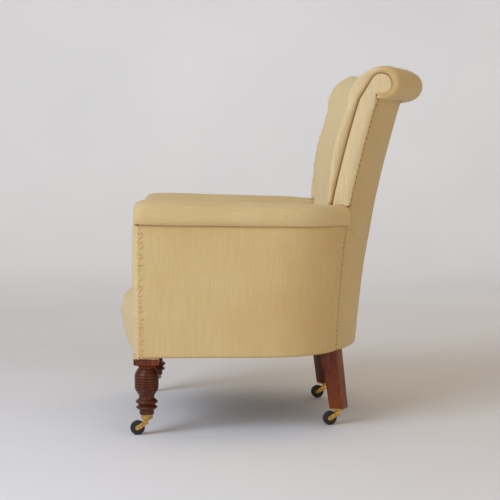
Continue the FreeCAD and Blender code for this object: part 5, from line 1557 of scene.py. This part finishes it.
@dataclass
class Upholstery:
    """All the stuffed pieces of the chair, in the order in which they are made."""

    arm_neighbours: tuple[str, ...] = ("outside_arm", "arm_facing", "arm_rail", "arm_stump", "back_post")

    def build(self, finishes: Finishes, seams: list[Seam]) -> None:
        """Blow up each stuffed piece against its neighbours.

        Args:
            finishes: the chair's finishes.
            seams: the chair's stitched seams.
        """
        posts = tuple(part + "_" + name for part in ("arm_pad", "back_post", "scroll_facing")
                      for name, _ in SIDES)
        Stuffed("inside_back", posts + ("outside_back", "scroll_rail", "seat_pad", "lower_back_rail", "back_webbing",
                                        "back_stays"), voxel_mm=5.0, rounds=7, cap_mm=3.5, fill=0.75, plump_mm=1.5,
                painted_light=0.75, painted_light_to=0.365, shape=FORM.drawn_up).build(finishes, seams, 1.0)
        frame_parts = tuple(part + "_" + name for part in ("arm_pad", "arm_facing", "front_leg", "side_seat_rail")
                            for name, _ in SIDES)
        Stuffed("seat_pad", frame_parts + ("seat_hessian", "front_seat_rail", "inside_back"), Thread.FORE_AFT,
                voxel_mm=5.0, rounds=4, cap_mm=3.5, fill=0.8, painted_light=0.35,
                shape=FORM.nose_drawn_in).build(finishes, seams, 2.0)
        for order, (name, _) in enumerate(SIDES):
            near = tuple(part + "_" + name for part in self.arm_neighbours)
            Stuffed("arm_pad_" + name, near + ("seat_pad", "inside_back", "outside_back", "scroll_facing_" + name),
                    Thread.FORE_AFT, voxel_mm=4.0, rounds=3, cap_mm=2.5, seam_mm=6.0, fill=0.8,
                    shape=FORM.roll_brought_out).build(finishes, seams, 3.0 + order)
            Stuffed("arm_facing_" + name, ("arm_pad_" + name, "outside_arm_" + name, "arm_stump_" + name,
                                           "seat_pad", "front_leg_" + name), voxel_mm=2.5, rounds=3, cap_mm=2.5,
                    seam_mm=5.0, lumps_mm=0.4, fill=0.6, crease_shade_mm=3.0,
                    shape=FORM.facing_brought_out).build(finishes, seams, 5.0 + order)
            Stuffed("scroll_facing_" + name, ("arm_pad_" + name, "inside_back", "back_post_" + name,
                                              "outside_back"), voxel_mm=1.6, rounds=5, cap_mm=1.6, seam_mm=4.0,
                    lumps_mm=0.25, fill=0.5, divide=False, crease_shade_mm=1.6, painted_light=1.0,
                    shape=FORM.strip_let_down).build(finishes, seams, 7.0 + order)


@dataclass
class Studio:
    """The plain pale floor and wall, the soft lights and the camera at the photograph's angle."""

    floor: str = "#E9ECF2"
    floor_pale: str = "#F7F9FD"
    reach: float = 8.0
    half_width: float = 9.0
    bend_x: float = 3.6
    bend: float = 1.2
    wall_top: float = 5.5
    glow_from: float = -0.9
    wall_glow: float = 0.24
    air: str = "#FFF3E2"
    air_strength: float = 0.42
    lens_mm: float = 93.6
    place: tuple[float, float, float] = (3.37, -0.162, 0.664)
    turn: float = math.radians(1.846)
    dip: float = math.radians(4.092)

    def ground(self) -> None:
        """A floor that curves up into one wall, which stands beyond the cameras of all views."""
        profile = [(self.reach, 0.0), (-self.bend_x, 0.0)]
        profile += [(-self.bend_x - self.bend * math.sin(step), self.bend - self.bend * math.cos(step))
                    for step in np.linspace(0.1, math.pi / 2, 12)]
        profile.append((-self.bend_x - self.bend, self.wall_top))
        spots = [Vector((x, y, z)) for x, z in profile for y in (-self.half_width, self.half_width)]
        faces = [(at, at + 1, at + 3, at + 2) for at in range(0, len(spots) - 2, 2)]
        mesh = bpy.data.meshes.new("studio_floor")
        mesh.from_pydata(spots, [], faces)
        mesh.shade_smooth()
        sweep = link("studio_floor", mesh)
        material, tree, shader = new_material("studio_paint")
        place = add(tree, "ShaderNodeTexCoord").outputs["Object"]
        tone = add(tree, "ShaderNodeTexNoise", Vector=place, Scale=1.2, Detail=2.0).outputs["Fac"]
        paint = add(tree, "ShaderNodeMix", {"data_type": "RGBA"}, Factor=tone, i6=linear(self.floor),
                    i7=linear(self.floor_pale)).outputs[2]
        tree.links.new(paint, shader.inputs["Base Color"])
        shader.inputs["Roughness"].default_value = 0.9
        # matt paint; the far wall is out of the lamps' reach, so its paleness is a faint glow of the paint's own
        across = add(tree, "ShaderNodeSeparateXYZ", Vector=place).outputs["X"]
        far = add(tree, "ShaderNodeMapRange", Value=across, From_Min=self.glow_from,
                  From_Max=-self.bend_x - self.bend, To_Min=0.0, To_Max=self.wall_glow).outputs["Result"]
        rays = add(tree, "ShaderNodeLightPath").outputs
        seen = rays["Is Camera Ray"]
        for mirrored in (rays["Is Glossy Ray"], rays["Is Transmission Ray"]):
            seen = add(tree, "ShaderNodeMath", {"operation": "MAXIMUM"}, i0=seen, i1=mirrored).outputs[0]
        glow = add(tree, "ShaderNodeMath", {"operation": "MULTIPLY"}, i0=far, i1=seen).outputs[0]
        tree.links.new(paint, shader.inputs["Emission Color"])
        tree.links.new(glow, shader.inputs["Emission Strength"])
        mesh.materials.append(material)

    def lamp(self, name: str, place: tuple[float, float, float], aim: tuple[float, float, float], size: float,
             power: float, colour: str) -> None:
        """Hang one soft square lamp.

        Args:
            name: the lamp's name.
            place: where it hangs.
            aim: what it points at.
            size: its width in metres.
            power: its power in watts.
            colour: its colour as hex.
        """
        data = bpy.data.lights.new(name, "AREA")
        data.shape = "SQUARE"
        data.size = size
        data.energy = power
        data.color = linear(colour)[:3]
        made = bpy.data.objects.new(name, data)
        bpy.context.scene.collection.objects.link(made)
        made.location = place
        made.rotation_euler = (Vector(aim) - Vector(place)).to_track_quat("-Z", "Y").to_euler()

    def build(self) -> None:
        """Set up the floor, the world, the lamps and the camera."""
        self.ground()
        scene = bpy.context.scene
        world = bpy.data.worlds.new("studio_air")
        scene.world = world
        world.use_nodes = True
        air = next(node for node in world.node_tree.nodes if node.type == "BACKGROUND")
        air.inputs["Color"].default_value = linear(self.air)
        air.inputs["Strength"].default_value = self.air_strength
        self.lamp("window", (2.2, -2.3, 2.2), (0.0, 0.0, 0.5), 2.0, 72.0, "#E2ECFF")
        self.lamp("room", (3.0, 1.4, 0.9), (0.0, 0.0, 0.45), 2.0, 11.0, "#FFD09A")
        self.lamp("rear", (-1.6, 1.6, 2.2), (0.0, 0.1, 0.5), 1.8, 5.0, "#FFD296")
        data = bpy.data.cameras.new("photograph")
        data.lens = self.lens_mm
        data.sensor_width = 36.0
        data.clip_start = 0.05
        camera = bpy.data.objects.new("photograph", data)
        scene.collection.objects.link(camera)
        scene.camera = camera
        camera.location = self.place
        look = Vector((-math.cos(self.turn) * math.cos(self.dip), math.sin(self.turn) * math.cos(self.dip),
                       -math.sin(self.dip)))
        camera.rotation_euler = look.to_track_quat("-Z", "Y").to_euler()
        scene.view_settings.view_transform = "Standard"


def main() -> None:
    """Build the dressed chair and its studio."""
    logging.basicConfig(level=logging.INFO, format="%(name)s: %(message)s")
    Studio().build()
    finishes = Finishes()
    finishes.dress_nodes()
    seams = chair_seams()
    Upholstery().build(finishes, seams)
    Covers().build(finishes, seams)
    Stitching().build(finishes, seams)
    Woodwork().build(finishes)
    LegWrap().build(finishes)
    Piping().build(finishes)
    DustCover().build(finishes)


if __name__ == "__main__":
    main()
